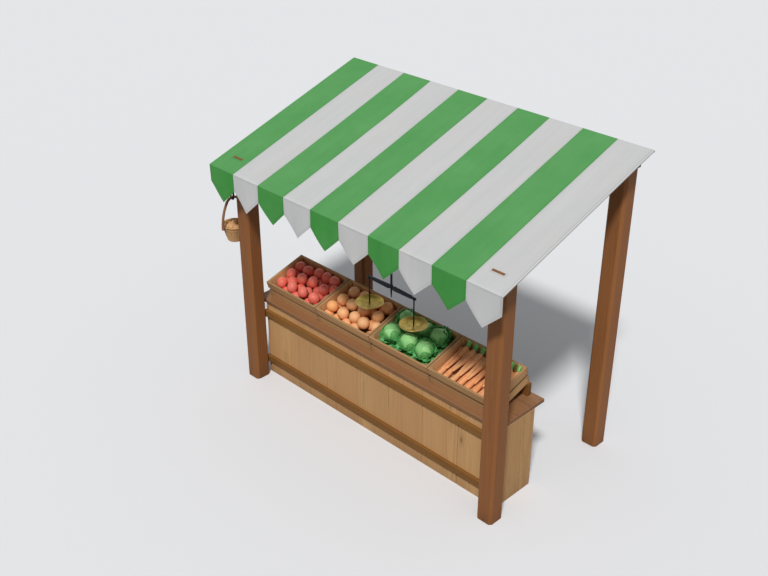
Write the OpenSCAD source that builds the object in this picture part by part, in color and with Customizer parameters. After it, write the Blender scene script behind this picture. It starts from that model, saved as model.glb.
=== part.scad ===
// Wooden market stall with a striped canopy, a boarded counter, four tilted produce crates,
// a hanging balance and a hanging basket. Millimetres, +Z up. The front faces -Y.
// The origin is on the ground, at the middle of the thickness of the counter's middle front board.

/* [Canopy] */
// How far the canopy runs past the posts at each end
canopy_side = 99; // [60:1:140]
// Height of the canopy's front edge above the ground
eave_z = 2021; // [1980:1:2150]
// Slope of the canopy
slope = 18.1; // [14:0.1:22]
// How far the front edge stands in front of the counter's boards
eave_reach = 339; // [320:1:380]
// Number of stripes, half of them green
stripes = 10; // [8:2:12]
// Thickness of the cloth
cloth_t = 6; // [4:1:12]
// Thickness of the corded hems along the cloth's sides
hem_t = 14; // [12:1:18]
// Width of those hems
hem_w = 22; // [15:1:30]
// Straight part of the valance below the front edge
valance_straight = 145; // [100:5:180]
// Full drop of the valance at its points
valance_drop = 286; // [220:2:320]
// Thickness of the valance
valance_t = 6; // [4:1:10]

/* [Posts and roof timbers] */
// Width of a square post
post_w = 142; // [110:1:150]
// Chamfer along the posts' edges
post_chamfer = 20; // [8:1:25]
// How far a front post's centre stands beyond the end of the counter
post_out = 30; // [10:1:60]
// Distance between the front and back posts, centre to centre
post_depth = 1295; // [1160:5:1420]
// How far a front post's lip stands above the cloth
lip_rise = 6; // [3:1:12]
// Thickness of a front post's lip
lip_t = 18; // [12:1:26]
// Bevel along the lip's upper rear edge
lip_bevel = 3; // [1:0.5:5]
// Thickness of the beam behind the front posts
front_beam_t = 60; // [45:5:70]
// Depth of the beam behind the front posts
front_beam_d = 90; // [70:5:120]
// Thickness of the beam on the back posts
back_beam_t = 90; // [70:5:110]
// Depth of the beam on the back posts
back_beam_d = 60; // [50:5:90]
// How far the back beam runs past the posts
back_beam_end = 39; // [20:1:70]
// Width of a rafter
rafter_w = 50; // [40:5:70]
// Depth of a rafter, square to the slope
rafter_d = 60; // [50:5:80]
// Thickness of the battens along the cloth's front and back edges
batten_t = 25; // [18:1:30]
// Depth of those battens
batten_d = 40; // [30:5:50]
// Gap between the back beam and the back batten
batten_gap = 2; // [1:1:10]
// How far the battens stop short of the cloth's ends
batten_inset = 100; // [80:5:140]
// How far the back batten stops short of the cloth's back edge
batten_back = 5; // [0:1:15]
// Gap between a post and the rafter beside it
rafter_side = 34; // [10:1:80]

/* [Counter] */
// Length of the counter
counter_w = 2600; // [2340:10:2860]
// Depth of the counter, from the front boards' face to the back
counter_d = 396; // [356:1:440]
// Height of the tabletop's upper face
table_z = 738; // [700:1:800]
// Thickness of the tabletop planks
table_t = 30; // [24:1:40]
// Depth of the tabletop
table_d = 521; // [470:1:570]
// How far the tabletop runs past the counter on the left
table_left = 98; // [0:1:100]
// How far the tabletop stands in front of the boards
table_nose = 15; // [8:1:30]
// Number of planks in the tabletop
table_planks = 4; // [3:1:5]
// Gap between planks
plank_gap = 4; // [2:1:6]
// Number of vertical boards on the front
board_count = 7; // [5:1:9]
// Thickness of the front boards
board_t = 22; // [18:1:28]
// Thickness of the end panels
end_t = 30; // [22:1:36]
// Height of the two rails across the boards
rail_h = 60; // [45:5:80]
// Thickness of those rails
rail_t = 26; // [18:1:34]
// Extra thickness of the rails' ends, which seat on the posts
packer_t = 11; // [5:1:30]
// Height of the upper rail's lower edge
upper_rail_z = 580; // [540:5:600]
// Height of the lower rail's lower edge
lower_rail_z = 120; // [90:5:160]
// Width of the battens inside the counter
inner_w = 60; // [45:5:80]
// Thickness of the battens inside the counter
inner_t = 40; // [30:1:50]

/* [Crates] */
// Distance from the tabletop's left end to the row of crates
row_left = 83; // [50:1:120]
// Distance from the tabletop's right end to the row of crates
row_right = 117; // [50:1:150]
// Gap between neighbouring crates
crate_gap = 6; // [2:1:12]
// Depth of a crate
crate_d = 417; // [376:1:440]
// Height of a crate
crate_h = 155; // [140:1:170]
// Forward tilt of the crates
crate_tilt = 16; // [12:0.5:20]
// Thickness of the crate slats
slat_t = 16; // [12:1:18]
// Height of a crate slat
slat_h = 66; // [55:1:68]
// Side of a square corner stick
stick_w = 22; // [18:1:28]
// Thickness of the crate's bottom slats
bottom_t = 10; // [8:1:14]
// Depth of the produce's packed lower layer
fill_h = 65; // [50:1:75]
// Distance from the boards' face to the crates' front edge
crate_set = 64; // [55:1:80]
// Thickness of the riser under the crates' backs
riser_t = 41; // [30:1:50]
// How far the riser runs past the row of crates at each end
riser_over = 12; // [0:1:20]
// Bevel along the riser's upper rear edge
riser_bevel = 20; // [10:1:24]

/* [Produce] */
// Radius of a tomato
tomato_r = 46; // [40:1:48]
// Radius of an orange
orange_r = 45; // [38:1:47]
// Radius of a cabbage
cabbage_r = 72; // [60:1:74]
// Number of carrots in the top layer
carrot_count = 8; // [6:1:8]
// Radius of a carrot's shoulder
carrot_r = 25; // [20:1:26]
// Length of a carrot
carrot_l = 262; // [220:1:280]
// Length of a carrot's leafy top
carrot_top_l = 54; // [30:1:56]

/* [Balance] */
// Height of the balance beam's pivot
pivot_z = 1281; // [1260:1:1330]
// Distance of the balance behind the counter's boards
balance_y = 199; // [180:1:215]
// Half length of the balance beam
beam_half = 262; // [250:1:280]
// Distance from the centre pivot to a pan's pivot
arm = 242; // [225:1:250]
// Thickness of the balance beam
beam_t = 9; // [7:1:12]
// Height of the balance beam at its middle
beam_h = 28; // [22:1:34]
// Height of the balance beam at its ends
beam_tip_h = 16; // [12:1:20]
// How far the pan pivots lie below the centre pivot
pan_pivot_drop = 3; // [0:1:6]
// Radius of the centre pin
pin_r = 4; // [3:0.5:5]
// Radius of the pan pins
pan_pin_r = 3; // [2:0.5:4]
// Running clearance round the pins
pin_gap = 0.1; // [0.05:0.01:0.1]
// Side clearance between the fork cheeks and the beam
cheek_gap = 1; // [0.5:0.1:2]
// Thickness of a fork cheek
cheek_t = 4; // [3:0.5:6]
// Radius of the long hanger rod
hanger_r = 7; // [5:0.5:9]
// Width of the hanger's plate under the rafter
plate_w = 40; // [30:2:50]
// Length of that plate
plate_l = 80; // [60:5:100]
// Thickness of that plate
plate_t = 8; // [7:1:10]
// Radius of a pan rod
rod_r = 4.5; // [3.5:0.5:6]
// Height of the pans' rims
pan_z = 1056; // [1052:1:1064]
// Radius of a pan
pan_r = 115; // [100:1:118]
// Depth of a pan
pan_depth = 16; // [10:1:20]
// Thickness of a pan
pan_t = 2.5; // [2:0.5:4]
// Length of the pointer below the pivot
pointer_l = 90; // [70:1:110]

/* [Hanging basket] */
// Height of the basket's rim
basket_z = 1413; // [1380:1:1440]
// Radius of the basket at the rim
basket_r = 108; // [96:1:112]
// Radius of the basket's base
basket_base_r = 64; // [50:1:70]
// Height of the basket
basket_h = 150; // [130:1:165]
// Thickness of the basket's wall
basket_t = 8; // [6:1:10]
// Number of woven rows below the rim
weave_rows = 9; // [6:1:12]
// How far a woven row bulges
weave_rise = 3; // [1:0.5:4]
// Height of the handle above the rim
handle_h = 246; // [220:1:260]
// Radius of the handle's crown
crown_r = 70; // [50:1:90]
// How far the handle's feet reach below the rim
handle_foot = 24; // [14:1:40]
// Radius of the handle's cane
cane_r = 8; // [6:0.5:9]
// Radius of a bread roll
roll_r = 25; // [20:1:28]
// Length of a bread roll beyond its round ends
roll_l = 28; // [10:1:36]
// Distance from the post's face to the basket's centre
basket_reach = 132; // [125:1:160]
// Radius of the basket hook's iron rod
hook_r = 8; // [5:0.5:9]
// Height of the hook's arm above the handle
hook_rise = 80; // [60:1:100]
// Radius of the hook's bend
hook_bend = 18; // [17:1:22]
// Length of the hook's upturned end
hook_tip = 14; // [8:1:20]
// Height of the hook's wall plate
wall_plate_h = 100; // [80:5:140]
// Width of the hook's wall plate
wall_plate_w = 44; // [30:2:60]
// Thickness of the hook's wall plate
wall_plate_t = 6; // [4:1:8]

/* [Hidden] */
$fn = 48;

// Clearance between a curved or soft piece and its seat
seat = 0.3;
// Overlap that makes one cut or one union clean
eps = 1;

oak = "#7e5232";
oak_dark = "#6b462a";
pine = "#a8825a";
table_brown = "#966a4e";
crate_tan = "#a08055";
iron = "#12181f";

// Places that follow from the sizes above
post_span = counter_w + 2 * post_out;
lip_w = post_w - 2 * post_chamfer;
canopy_w = post_span + post_w + 2 * canopy_side;
stripe_w = canopy_w / stripes;
face_y = -board_t / 2;
eave_y = -eave_reach;
front_post_y = face_y - rail_t - packer_t - post_w / 2;
back_post_y = front_post_y + post_depth;
front_beam_y = front_post_y + post_w / 2;
back_batten_y = back_post_y + back_beam_t / 2 + batten_gap;
ridge_y = back_batten_y + batten_t + batten_back;
rafter_x = post_span / 2 - post_w / 2 - rafter_side - rafter_w / 2;

function roof_z(y) = eave_z + (y - eave_y) * tan(slope);
function under_cloth(y) = roof_z(y) - cloth_t / cos(slope);
function under_rafter(y) = roof_z(y) - (cloth_t + rafter_d) / cos(slope);

front_beam_z = under_rafter(front_beam_y + front_beam_t);
back_beam_z = under_rafter(back_post_y + back_beam_t / 2);
counter_back = face_y + counter_d;
table_front = face_y - table_nose;
table_start = -counter_w / 2 - table_left;
table_end = counter_w / 2;

// An outline drawn in Y and Z, carried from x by w along X
module along_x(x, w) {
    translate([x, 0, 0]) rotate([90, 0, 90]) linear_extrude(w) children();
}

// An outline drawn in X and Z, carried from y by t along Y
module along_y(y, t) {
    translate([0, y + t, 0]) rotate([90, 0, 0]) linear_extrude(t) children();
}

module box(x, y, z, w, d, h) {
    translate([x, y, z]) cube([w, d, h]);
}

// Square post section with its four edges chamfered
module post_outline() {
    h = post_w / 2;
    c = h - post_chamfer;
    polygon([[-c, -h], [c, -h], [h, -c], [h, c], [c, h], [-c, h], [-h, c], [-h, -c]]);
}

// Front post: cut to the slope under the cloth; a lip between its chamfers comes up through the cloth
module front_post(side) {
    front = front_post_y - post_w / 2;
    back = front_post_y + post_w / 2;
    top = roof_z(front) + lip_rise;
    color(oak) intersection() {
        translate([side * post_span / 2, front_post_y, 0])
            linear_extrude(top + eps) post_outline();
        union() {
            along_x(-canopy_w / 2, canopy_w) polygon([
                [front - eps, -eps], [back + eps, -eps],
                [back + eps, under_cloth(back + eps) - seat],
                [front - eps, under_cloth(front - eps) - seat]
            ]);
            along_x(side * post_span / 2 - lip_w / 2, lip_w) polygon([
                [front - eps, table_z], [front + lip_t, table_z],
                [front + lip_t, top - lip_bevel], [front + lip_t - lip_bevel, top], [front - eps, top]
            ]);
        }
    }
}

module back_post(side) {
    color(oak)
        translate([side * post_span / 2, back_post_y, 0])
            linear_extrude(back_beam_z - back_beam_d) post_outline();
}

module front_beam() {
    w = post_span + post_w;
    color(oak_dark)
        box(-w / 2, front_beam_y, front_beam_z - front_beam_d, w, front_beam_t, front_beam_d);
}

module back_beam() {
    w = post_span + post_w + 2 * back_beam_end;
    color(oak_dark)
        box(-w / 2, back_post_y - back_beam_t / 2, back_beam_z - back_beam_d,
            w, back_beam_t, back_beam_d);
}

// Sloping timber, notched over both beams, between the two battens
module rafter(x) {
    y0 = eave_y + valance_t + batten_t;
    y1 = back_batten_y;
    color(oak_dark) difference() {
        along_x(x - rafter_w / 2, rafter_w) polygon([
            [y0, under_rafter(y0)], [y1, under_rafter(y1)],
            [y1, under_cloth(y1) - seat], [y0, under_cloth(y0) - seat]
        ]);
        box(-canopy_w, front_beam_y, 0, 2 * canopy_w, front_beam_t, front_beam_z);
        box(-canopy_w, back_post_y - back_beam_t / 2, 0, 2 * canopy_w, back_beam_t, back_beam_z);
    }
}

module batten(y) {
    w = canopy_w - 2 * batten_inset;
    color(oak_dark)
        along_x(-w / 2, w) polygon([
            [y, under_cloth(y) - batten_d], [y + batten_t, under_cloth(y) - batten_d],
            [y + batten_t, under_cloth(y + batten_t) - seat], [y, under_cloth(y) - seat]
        ]);
}

// A sloping strip of cloth of thickness t, from y0 to the back edge
module strip(x, w, y0, t) {
    drop = t / cos(slope);
    along_x(x, w) polygon([
        [y0, roof_z(y0) - drop], [ridge_y, roof_z(ridge_y) - drop],
        [ridge_y, roof_z(ridge_y)], [y0, roof_z(y0)]
    ]);
}

// One stripe, with a slit where a front post's lip comes through; the outer ones have a hem
module stripe(i) {
    slit = 2;
    hole_w = lip_w + 2 * slit;
    hem_y = eave_y + valance_t + seat;
    difference() {
        union() {
            strip(-canopy_w / 2 + i * stripe_w, stripe_w, eave_y, cloth_t);
            if (i == 0) strip(-canopy_w / 2, hem_w, hem_y, hem_t);
            if (i == stripes - 1) strip(canopy_w / 2 - hem_w, hem_w, hem_y, hem_t);
        }
        for (side = [-1, 1])
            box(side * post_span / 2 - hole_w / 2, front_post_y - post_w / 2 - slit, eave_z / 2,
                hole_w, lip_t + 2 * slit, eave_z);
    }
}

// One pointed drop of the valance
module drop(i) {
    x = -canopy_w / 2 + i * stripe_w;
    top = under_cloth(eave_y);
    along_y(eave_y, valance_t) polygon([
        [x, top], [x, roof_z(eave_y) - valance_straight],
        [x + stripe_w / 2, roof_z(eave_y) - valance_drop],
        [x + stripe_w, roof_z(eave_y) - valance_straight], [x + stripe_w, top]
    ]);
}

module canopy_green() {
    color("#60a261") for (i = [0 : 2 : stripes - 1]) stripe(i);
}

module canopy_white() {
    color("#d6d6d4") for (i = [1 : 2 : stripes - 1]) stripe(i);
}

module valance_green() {
    color("#438842") for (i = [0 : 2 : stripes - 1]) drop(i);
}

module valance_white() {
    color("#b7b8b6") for (i = [1 : 2 : stripes - 1]) drop(i);
}

// Vertical boards between the end panels
module front_boards() {
    inner = counter_w - 2 * end_t;
    pitch = inner / board_count;
    color(pine)
        for (i = [0 : board_count - 1])
            box(-inner / 2 + i * pitch + (i == 0 ? 0 : plank_gap / 2), face_y, 0,
                pitch - (i == 0 || i == board_count - 1 ? plank_gap / 2 : plank_gap),
                board_t, table_z - table_t);
}

module end_panel(side) {
    x = side > 0 ? counter_w / 2 - end_t : -counter_w / 2;
    color(pine) box(x, face_y, 0, end_t, counter_d, table_z - table_t);
}

// Rail across the boards, thickened at both ends to seat on the posts
module rail(z) {
    pad = counter_w / 2 - (post_span / 2 - post_w / 2);
    color(oak_dark) {
        box(-counter_w / 2, face_y - rail_t, z, counter_w, rail_t, rail_h);
        box(-counter_w / 2, face_y - rail_t - packer_t, z, pad, packer_t + eps, rail_h);
        box(counter_w / 2 - pad, face_y - rail_t - packer_t, z, pad, packer_t + eps, rail_h);
    }
}

// The battens behind the boards, under the tabletop and near the ground
module counter_battens() {
    w = counter_w - 2 * end_t;
    color(pine)
        for (z = [table_z - table_t - inner_w, lower_rail_z])
            box(-w / 2, face_y + board_t, z, w, inner_t, inner_w);
}

module back_top_rail() {
    w = counter_w - 2 * end_t;
    color(pine) box(-w / 2, counter_back - inner_t, table_z - table_t - inner_w, w, inner_t, inner_w);
}

module tabletop() {
    plank = (table_d - (table_planks - 1) * plank_gap) / table_planks;
    color(table_brown)
        for (i = [0 : table_planks - 1])
            box(table_start, table_front + i * (plank + plank_gap), table_z - table_t,
                table_end - table_start, plank, table_t);
}

// Everything in a crate is drawn level, then tilted about the crate's front lower edge
crate_count = 4;
crate_y = face_y + crate_set;
row_start = table_start + row_left;
crate_pitch = (table_end - row_right - row_start + crate_gap) / crate_count;
crate_w = crate_pitch - crate_gap;

module in_crate(i) {
    translate([row_start + i * crate_pitch, crate_y, table_z]) rotate([crate_tilt, 0, 0]) children();
}

// Block along the back, its top planed to the crates' tilt and bevelled behind them
module crate_riser() {
    y1 = crate_y + crate_d * cos(crate_tilt) + riser_over;
    y0 = y1 - riser_t;
    w = crate_count * crate_pitch - crate_gap + 2 * riser_over;
    rise = tan(crate_tilt);
    color(oak)
        along_x(row_start - riser_over, w) polygon([
            [y0, table_z], [y1, table_z],
            [y1, table_z + (y1 - riser_bevel - crate_y) * rise - riser_bevel * tan(45 - crate_tilt)],
            [y1 - riser_bevel, table_z + (y1 - riser_bevel - crate_y) * rise],
            [y0, table_z + (y0 - crate_y) * rise]
        ]);
}

// Slatted crate: corner sticks, two slats on each side and spaced bottom slats
module crate() {
    bottoms = 5;
    gap = 12;
    inner_d = crate_d - 2 * slat_t;
    board = (inner_d - (bottoms - 1) * gap) / bottoms;
    color(crate_tan) {
        for (z = [0, crate_h - slat_h]) {
            for (y = [0, crate_d - slat_t])
                box(0, y, z, crate_w, slat_t, slat_h);
            for (x = [0, crate_w - slat_t])
                box(x, slat_t, z, slat_t, inner_d, slat_h);
        }
        for (x = [slat_t, crate_w - slat_t - stick_w], y = [slat_t, crate_d - slat_t - stick_w])
            box(x, y, 0, stick_w, stick_w, crate_h);
        for (i = [0 : bottoms - 1])
            box(slat_t, slat_t + i * (board + gap), 0, crate_w - 2 * slat_t, board, bottom_t);
    }
}

// The packed lower layer of the produce, clear of the sides and the corner sticks
fill_z = bottom_t + fill_h;

module bed() {
    m = slat_t + eps;
    s = stick_w + eps;
    translate([0, 0, bottom_t]) linear_extrude(fill_z - bottom_t) polygon([
        [m + s, m], [crate_w - m - s, m], [crate_w - m - s, m + s], [crate_w - m, m + s],
        [crate_w - m, crate_d - m - s], [crate_w - m - s, crate_d - m - s],
        [crate_w - m - s, crate_d - m], [m + s, crate_d - m],
        [m + s, crate_d - m - s], [m, crate_d - m - s], [m, m + s], [m + s, m + s]
    ]);
}

// A place in a crate for a round of radius r: u and v run from 0 to 1 between the sides
function place(u, v, r) = [
    slat_t + r + eps + u * (crate_w - 2 * (slat_t + r + eps)),
    slat_t + r + eps + v * (crate_d - 2 * (slat_t + r + eps))
];

// A tomato: its round section is set off the axis, which leaves the dimple at the stalk
module tomato(r) {
    off = 0.24;
    turn = acos(-off / (1 - off));
    rotate_extrude() polygon([
        for (k = [-5 : 5]) let (a = turn * k / 5) r * [off + (1 - off) * cos(a), (1 - off) * sin(a)]
    ]);
}

module tomatoes() {
    spots = [
        [0.03, 0.11], [0.29, 0.13], [0.56, 0.15], [0.85, 0.14], [0, 0.55], [0.28, 0.56],
        [0.52, 0.64], [0.84, 0.58], [0.01, 0.93], [0.23, 0.91], [0.46, 1], [0.66, 1], [0.86, 1]
    ];
    color("#c86458") in_crate(0) {
        bed();
        for (p = spots)
            translate(concat(place(p[0], p[1], tomato_r), fill_z + 0.72 * tomato_r)) tomato(tomato_r);
    }
}

module oranges() {
    spots = [
        [0.02, 0.18], [0.3, 0.14], [0.54, 0.21], [0.77, 0.17], [0.05, 0.56], [0.28, 0.55],
        [0.56, 0.56], [0.88, 0.59], [0.09, 0.97], [0.34, 0.98], [0.62, 0.99], [0.87, 1]
    ];
    color("#d0926a") in_crate(1) {
        bed();
        for (p = spots)
            translate(concat(place(p[0], p[1], orange_r), fill_z + 0.95 * orange_r)) sphere(orange_r);
    }
}

// Two rows of heads; the one behind the balance's right pan lies deeper
module cabbages() {
    spots = [
        [0.06, 0.24, 0.88], [0.48, 0.23, 0.88], [0.85, 0.24, 0.88],
        [0.06, 0.98, 0.88], [0.48, 0.97, 0.66], [0.85, 0.94, 0.88]
    ];
    color("#61a653") in_crate(2) {
        bed();
        for (p = spots)
            translate(concat(place(p[0], p[1], cabbage_r), fill_z + p[2] * cabbage_r)) sphere(cabbage_r);
    }
}

// A carrot lying along the crate, its point to the front
module carrot(l, r) {
    rotate([90, 0, 0]) rotate_extrude() polygon([
        [0, 0], [r * 0.7, 0], [r, r * 0.4], [r * 0.76, l * 0.5], [r * 0.36, l * 0.93], [0, l]
    ]);
}

// Places of the carrots' shoulders in their crate
function shoulder(i) = [
    slat_t + 2 * carrot_r + i * (crate_w - 2 * slat_t - 3.3 * carrot_r) / (carrot_count - 1),
    crate_d - slat_t - carrot_top_l * sin(30) - 0.5 * carrot_r, fill_z + 0.92 * carrot_r
];

module carrots() {
    color("#d09268") in_crate(3) {
        bed();
        for (i = [0 : carrot_count - 1]) translate(shoulder(i)) carrot(carrot_l, carrot_r);
    }
}

// Leafy tops: broad at the shoulder, pointed up and to the back
module carrot_tops() {
    r = 0.42 * carrot_r;
    color("#3c7c3f") in_crate(3)
        for (i = [0 : carrot_count - 1])
            translate(shoulder(i) + [0, r * cos(30) + seat, 0])
                rotate([-30, 0, 0]) cylinder(h = carrot_top_l, r1 = r, r2 = 1.5);
}

// Fork that straddles a bar, carrying its pin
module fork(r, pin, h) {
    reach = beam_t / 2 + cheek_gap;
    for (y = [-reach - cheek_t, reach])
        translate([0, y + cheek_t, 0]) rotate([90, 0, 0]) linear_extrude(cheek_t) union() {
            circle(r);
            translate([-r, 0]) square([2 * r, h]);
        }
    translate([-r, -reach - cheek_t, h - cheek_t]) cube([2 * r, 2 * (reach + cheek_t), cheek_t]);
    translate([0, reach + cheek_t, 0]) rotate([90, 0, 0]) cylinder(h = 2 * (reach + cheek_t), r = pin);
}

// Fork on a long rod, which ends inside the plate under the middle rafter
module balance_hanger() {
    h = beam_h / 2 + 10;
    top = under_rafter(balance_y);
    rod_z = pivot_z + h - cheek_t / 2;
    color(iron) {
        translate([0, balance_y, pivot_z]) fork(10, pin_r, h);
        translate([0, balance_y, rod_z]) cylinder(h = top - plate_t / 2 - rod_z, r = hanger_r);
        translate([0, balance_y, top]) rotate([slope, 0, 0])
            translate([-plate_w / 2, -plate_l / 2, -plate_t]) cube([plate_w, plate_l, plate_t]);
    }
}

// Beam: deeper at the middle, bored for the centre pin and for both pan pins
module balance_beam() {
    z = pivot_z - pan_pivot_drop;
    color(iron) difference() {
        along_y(balance_y - beam_t / 2, beam_t) union() {
            polygon([
                [-beam_half, z - beam_tip_h / 2], [0, pivot_z - beam_h / 2], [beam_half, z - beam_tip_h / 2],
                [beam_half, z + beam_tip_h / 2], [0, pivot_z + beam_h / 2], [-beam_half, z + beam_tip_h / 2]
            ]);
            translate([0, pivot_z]) circle(beam_h / 2 + 1);
        }
        translate([0, balance_y + beam_t, pivot_z]) rotate([90, 0, 0])
            cylinder(h = 2 * beam_t, r = pin_r + pin_gap);
        for (side = [-1, 1])
            translate([side * arm, balance_y + beam_t, z]) rotate([90, 0, 0])
                cylinder(h = 2 * beam_t, r = pan_pin_r + pin_gap);
    }
}

module balance_pointer() {
    z = pivot_z - beam_h / 2 - 1;
    color(iron)
        along_y(balance_y - beam_t / 2, beam_t) polygon([
            [-8, z], [-1.5, pivot_z - pointer_l], [1.5, pivot_z - pointer_l], [8, z]
        ]);
}

module pan_rod(side) {
    z = pivot_z - pan_pivot_drop;
    h = beam_tip_h / 2 + 6;
    foot = pan_z - pan_depth + pan_t;
    color(iron) translate([side * arm, balance_y, 0]) {
        translate([0, 0, z]) rotate([180, 0, 0]) fork(6.5, pan_pin_r, h);
        translate([0, 0, foot]) cylinder(h = z - h + eps - foot, r = rod_r);
    }
}

module pan(side) {
    base = pan_r * 0.62;
    color("#8b7c40") translate([side * arm, balance_y, pan_z - pan_depth]) rotate_extrude() polygon([
        [0, 0], [base, 0], [pan_r - 8, pan_depth - pan_t - 3], [pan_r, pan_depth - pan_t - 3],
        [pan_r, pan_depth], [pan_r - 10, pan_depth], [base - 2, pan_t], [0, pan_t]
    ]);
}

// Basket, handle, hook and rolls hang at the left of the front left post
basket_x = -post_span / 2 - post_w / 2 - basket_reach;
handle_top = basket_z + handle_h;

// Flared wall of woven rows under a round rim
module basket() {
    rim_h = 14;
    rim_over = 4;
    neck = basket_r - rim_over;
    wall_h = basket_h - rim_h;
    half_rows = 2 * weave_rows;
    color("#a07c4a") translate([basket_x, front_post_y, basket_z - basket_h]) rotate_extrude() polygon([
        [0, 0], [basket_base_r - weave_rise, 0],
        for (k = [1 : half_rows - 1]) [
            basket_base_r + (neck - basket_base_r) * k / half_rows - (k % 2 == 0 ? weave_rise : 0),
            wall_h * k / half_rows
        ],
        [neck - weave_rise, wall_h], [basket_r, basket_h - 0.8 * rim_h],
        [basket_r, basket_h - 0.2 * rim_h], [basket_r - rim_over / 2, basket_h],
        [neck - basket_t, basket_h], [neck - basket_t - weave_rise, wall_h],
        [basket_base_r - basket_t - weave_rise, basket_t], [0, basket_t]
    ]);
}

// A ring of cane in the Y and Z plane, kept only where the outline drawn in Y and Z covers it
module cane_arc(y, z, r) {
    intersection() {
        translate([0, y, z]) rotate([90, 0, 90]) rotate_extrude() translate([r, 0]) circle(cane_r);
        along_x(-2 * cane_r, 4 * cane_r) children();
    }
}

// Cane bent to three arcs that are bound where they meet, tight at the crown, its feet outside the rim
module basket_handle() {
    half = basket_r + cane_r + seat;
    rise = handle_h - cane_r - crown_r;
    flank = (half * half + rise * rise - crown_r * crown_r) / (2 * (half - crown_r));
    slant = rise / (flank - half);
    turn = atan(slant);
    out = crown_r + 3 * cane_r;
    reach = flank + 4 * cane_r;
    color("#5e4630") translate([basket_x, front_post_y, basket_z]) {
        cane_arc(0, rise, crown_r) polygon([
            [0, rise], [out, rise + out * slant], [out, handle_h + cane_r],
            [-out, handle_h + cane_r], [-out, rise + out * slant]
        ]);
        for (side = [-1, 1]) {
            cane_arc(side * (half - flank), 0, flank) polygon([
                [side * (half - flank), 0], [side * (half - flank + reach), 0],
                [side * (half - flank + reach), reach * slant]
            ]);
            translate([0, side * half, -handle_foot]) cylinder(h = handle_foot, r = cane_r);
            translate([0, side * crown_r * cos(turn), rise + crown_r * sin(turn)])
                rotate([side * turn, 0, 0]) cylinder(h = 2 * cane_r, r = cane_r + 1, center = true);
        }
    }
}

// Iron bracket: wall plate, arm and a dropped hook under the handle
module basket_hook() {
    post_face = -post_span / 2 - post_w / 2;
    seat_z = handle_top - 2 * cane_r - seat - hook_r;
    arm_z = handle_top + hook_rise;
    bend = hook_bend;
    drop = arm_z - seat_z - bend;
    color(iron) {
        box(post_face - wall_plate_t, front_post_y - wall_plate_w / 2, arm_z - wall_plate_h / 2,
            wall_plate_t, wall_plate_w, wall_plate_h);
        translate([post_face - wall_plate_t + eps, front_post_y, arm_z]) rotate([0, -90, 0])
            cylinder(h = basket_reach - wall_plate_t - bend + eps, r = hook_r);
        translate([basket_x + bend, front_post_y, arm_z]) sphere(hook_r);
        translate([basket_x + bend, front_post_y, arm_z - drop]) cylinder(h = drop, r = hook_r);
        translate([basket_x, front_post_y, arm_z - drop]) rotate([90, 0, 0])
            rotate_extrude(angle = -180) translate([bend, 0]) circle(hook_r);
        translate([basket_x - bend, front_post_y, arm_z - drop]) cylinder(h = hook_tip, r = hook_r);
    }
}

// A roll: a bar of dough with round ends
module roll() {
    rotate([0, 90, 0]) translate([0, 0, -roll_l / 2]) {
        cylinder(h = roll_l, r = roll_r);
        sphere(roll_r);
        translate([0, 0, roll_l]) sphere(roll_r);
    }
}

// Rolls heaped on a packed lower layer; each entry is X, Y, lift and turn
module basket_rolls() {
    spots = [
        [-40, -26, 0, 70], [4, -52, 2, 10], [46, -14, -2, 80],
        [22, 44, 3, -25], [-34, 38, 1, 40], [2, -4, 14, -35]
    ];
    clear = 4;
    color("#b48a5c") translate([basket_x, front_post_y, basket_z - basket_h + basket_t]) {
        translate([0, 0, seat]) cylinder(
            h = basket_h - basket_t - roll_r - seat,
            r1 = basket_base_r - basket_t - weave_rise - clear,
            r2 = basket_r - basket_t - weave_rise - 4 * clear
        );
        for (p = spots)
            translate([p[0], p[1], basket_h - basket_t - roll_r + p[2]]) rotate([0, 0, p[3]]) roll();
    }
}

front_post(-1);  // front_left_post
front_post(1);  // front_right_post
back_post(-1);  // back_left_post
back_post(1);  // back_right_post
front_beam();
back_beam();
rafter(-rafter_x);  // left_rafter
rafter(0);  // middle_rafter
rafter(rafter_x);  // right_rafter
batten(eave_y + valance_t);  // front_batten
batten(back_batten_y);  // back_batten
canopy_green();
canopy_white();
valance_green();
valance_white();
front_boards();
end_panel(-1);  // left_end_panel
end_panel(1);  // right_end_panel
rail(upper_rail_z);  // upper_rail
rail(lower_rail_z);  // lower_rail
counter_battens();
back_top_rail();
tabletop();
crate_riser();
in_crate(0) crate();  // tomato_crate
in_crate(1) crate();  // orange_crate
in_crate(2) crate();  // cabbage_crate
in_crate(3) crate();  // carrot_crate
tomatoes();
oranges();
cabbages();
carrots();
carrot_tops();
balance_hanger();
balance_beam();
balance_pointer();
pan_rod(-1);  // left_pan_rod
pan(-1);  // left_pan
pan_rod(1);  // right_pan_rod
pan(1);  // right_pan
basket_hook();
basket();
basket_handle();
basket_rolls();
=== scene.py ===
"""Looks of a wooden market stall, dressed around its packed construction model."""

import math
import random

import bmesh
import bpy
import numpy as np
from mathutils import Matrix, Vector


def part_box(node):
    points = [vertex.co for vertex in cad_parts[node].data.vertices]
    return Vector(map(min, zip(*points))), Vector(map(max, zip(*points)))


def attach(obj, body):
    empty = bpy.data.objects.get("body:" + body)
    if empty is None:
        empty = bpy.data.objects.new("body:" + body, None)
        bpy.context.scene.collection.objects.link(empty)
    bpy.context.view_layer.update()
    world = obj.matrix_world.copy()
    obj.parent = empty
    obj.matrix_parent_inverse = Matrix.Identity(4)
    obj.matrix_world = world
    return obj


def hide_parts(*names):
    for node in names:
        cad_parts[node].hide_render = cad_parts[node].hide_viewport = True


bl_info = {
    "name": "Market stall",
    "version": (1, 0, 0),
    "blender": (4, 5, 0),
    "location": "3D View > Sidebar > Stall",
    "description": "Dresses the construction model of a wooden market stall",
    "category": "Object",
}

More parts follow.
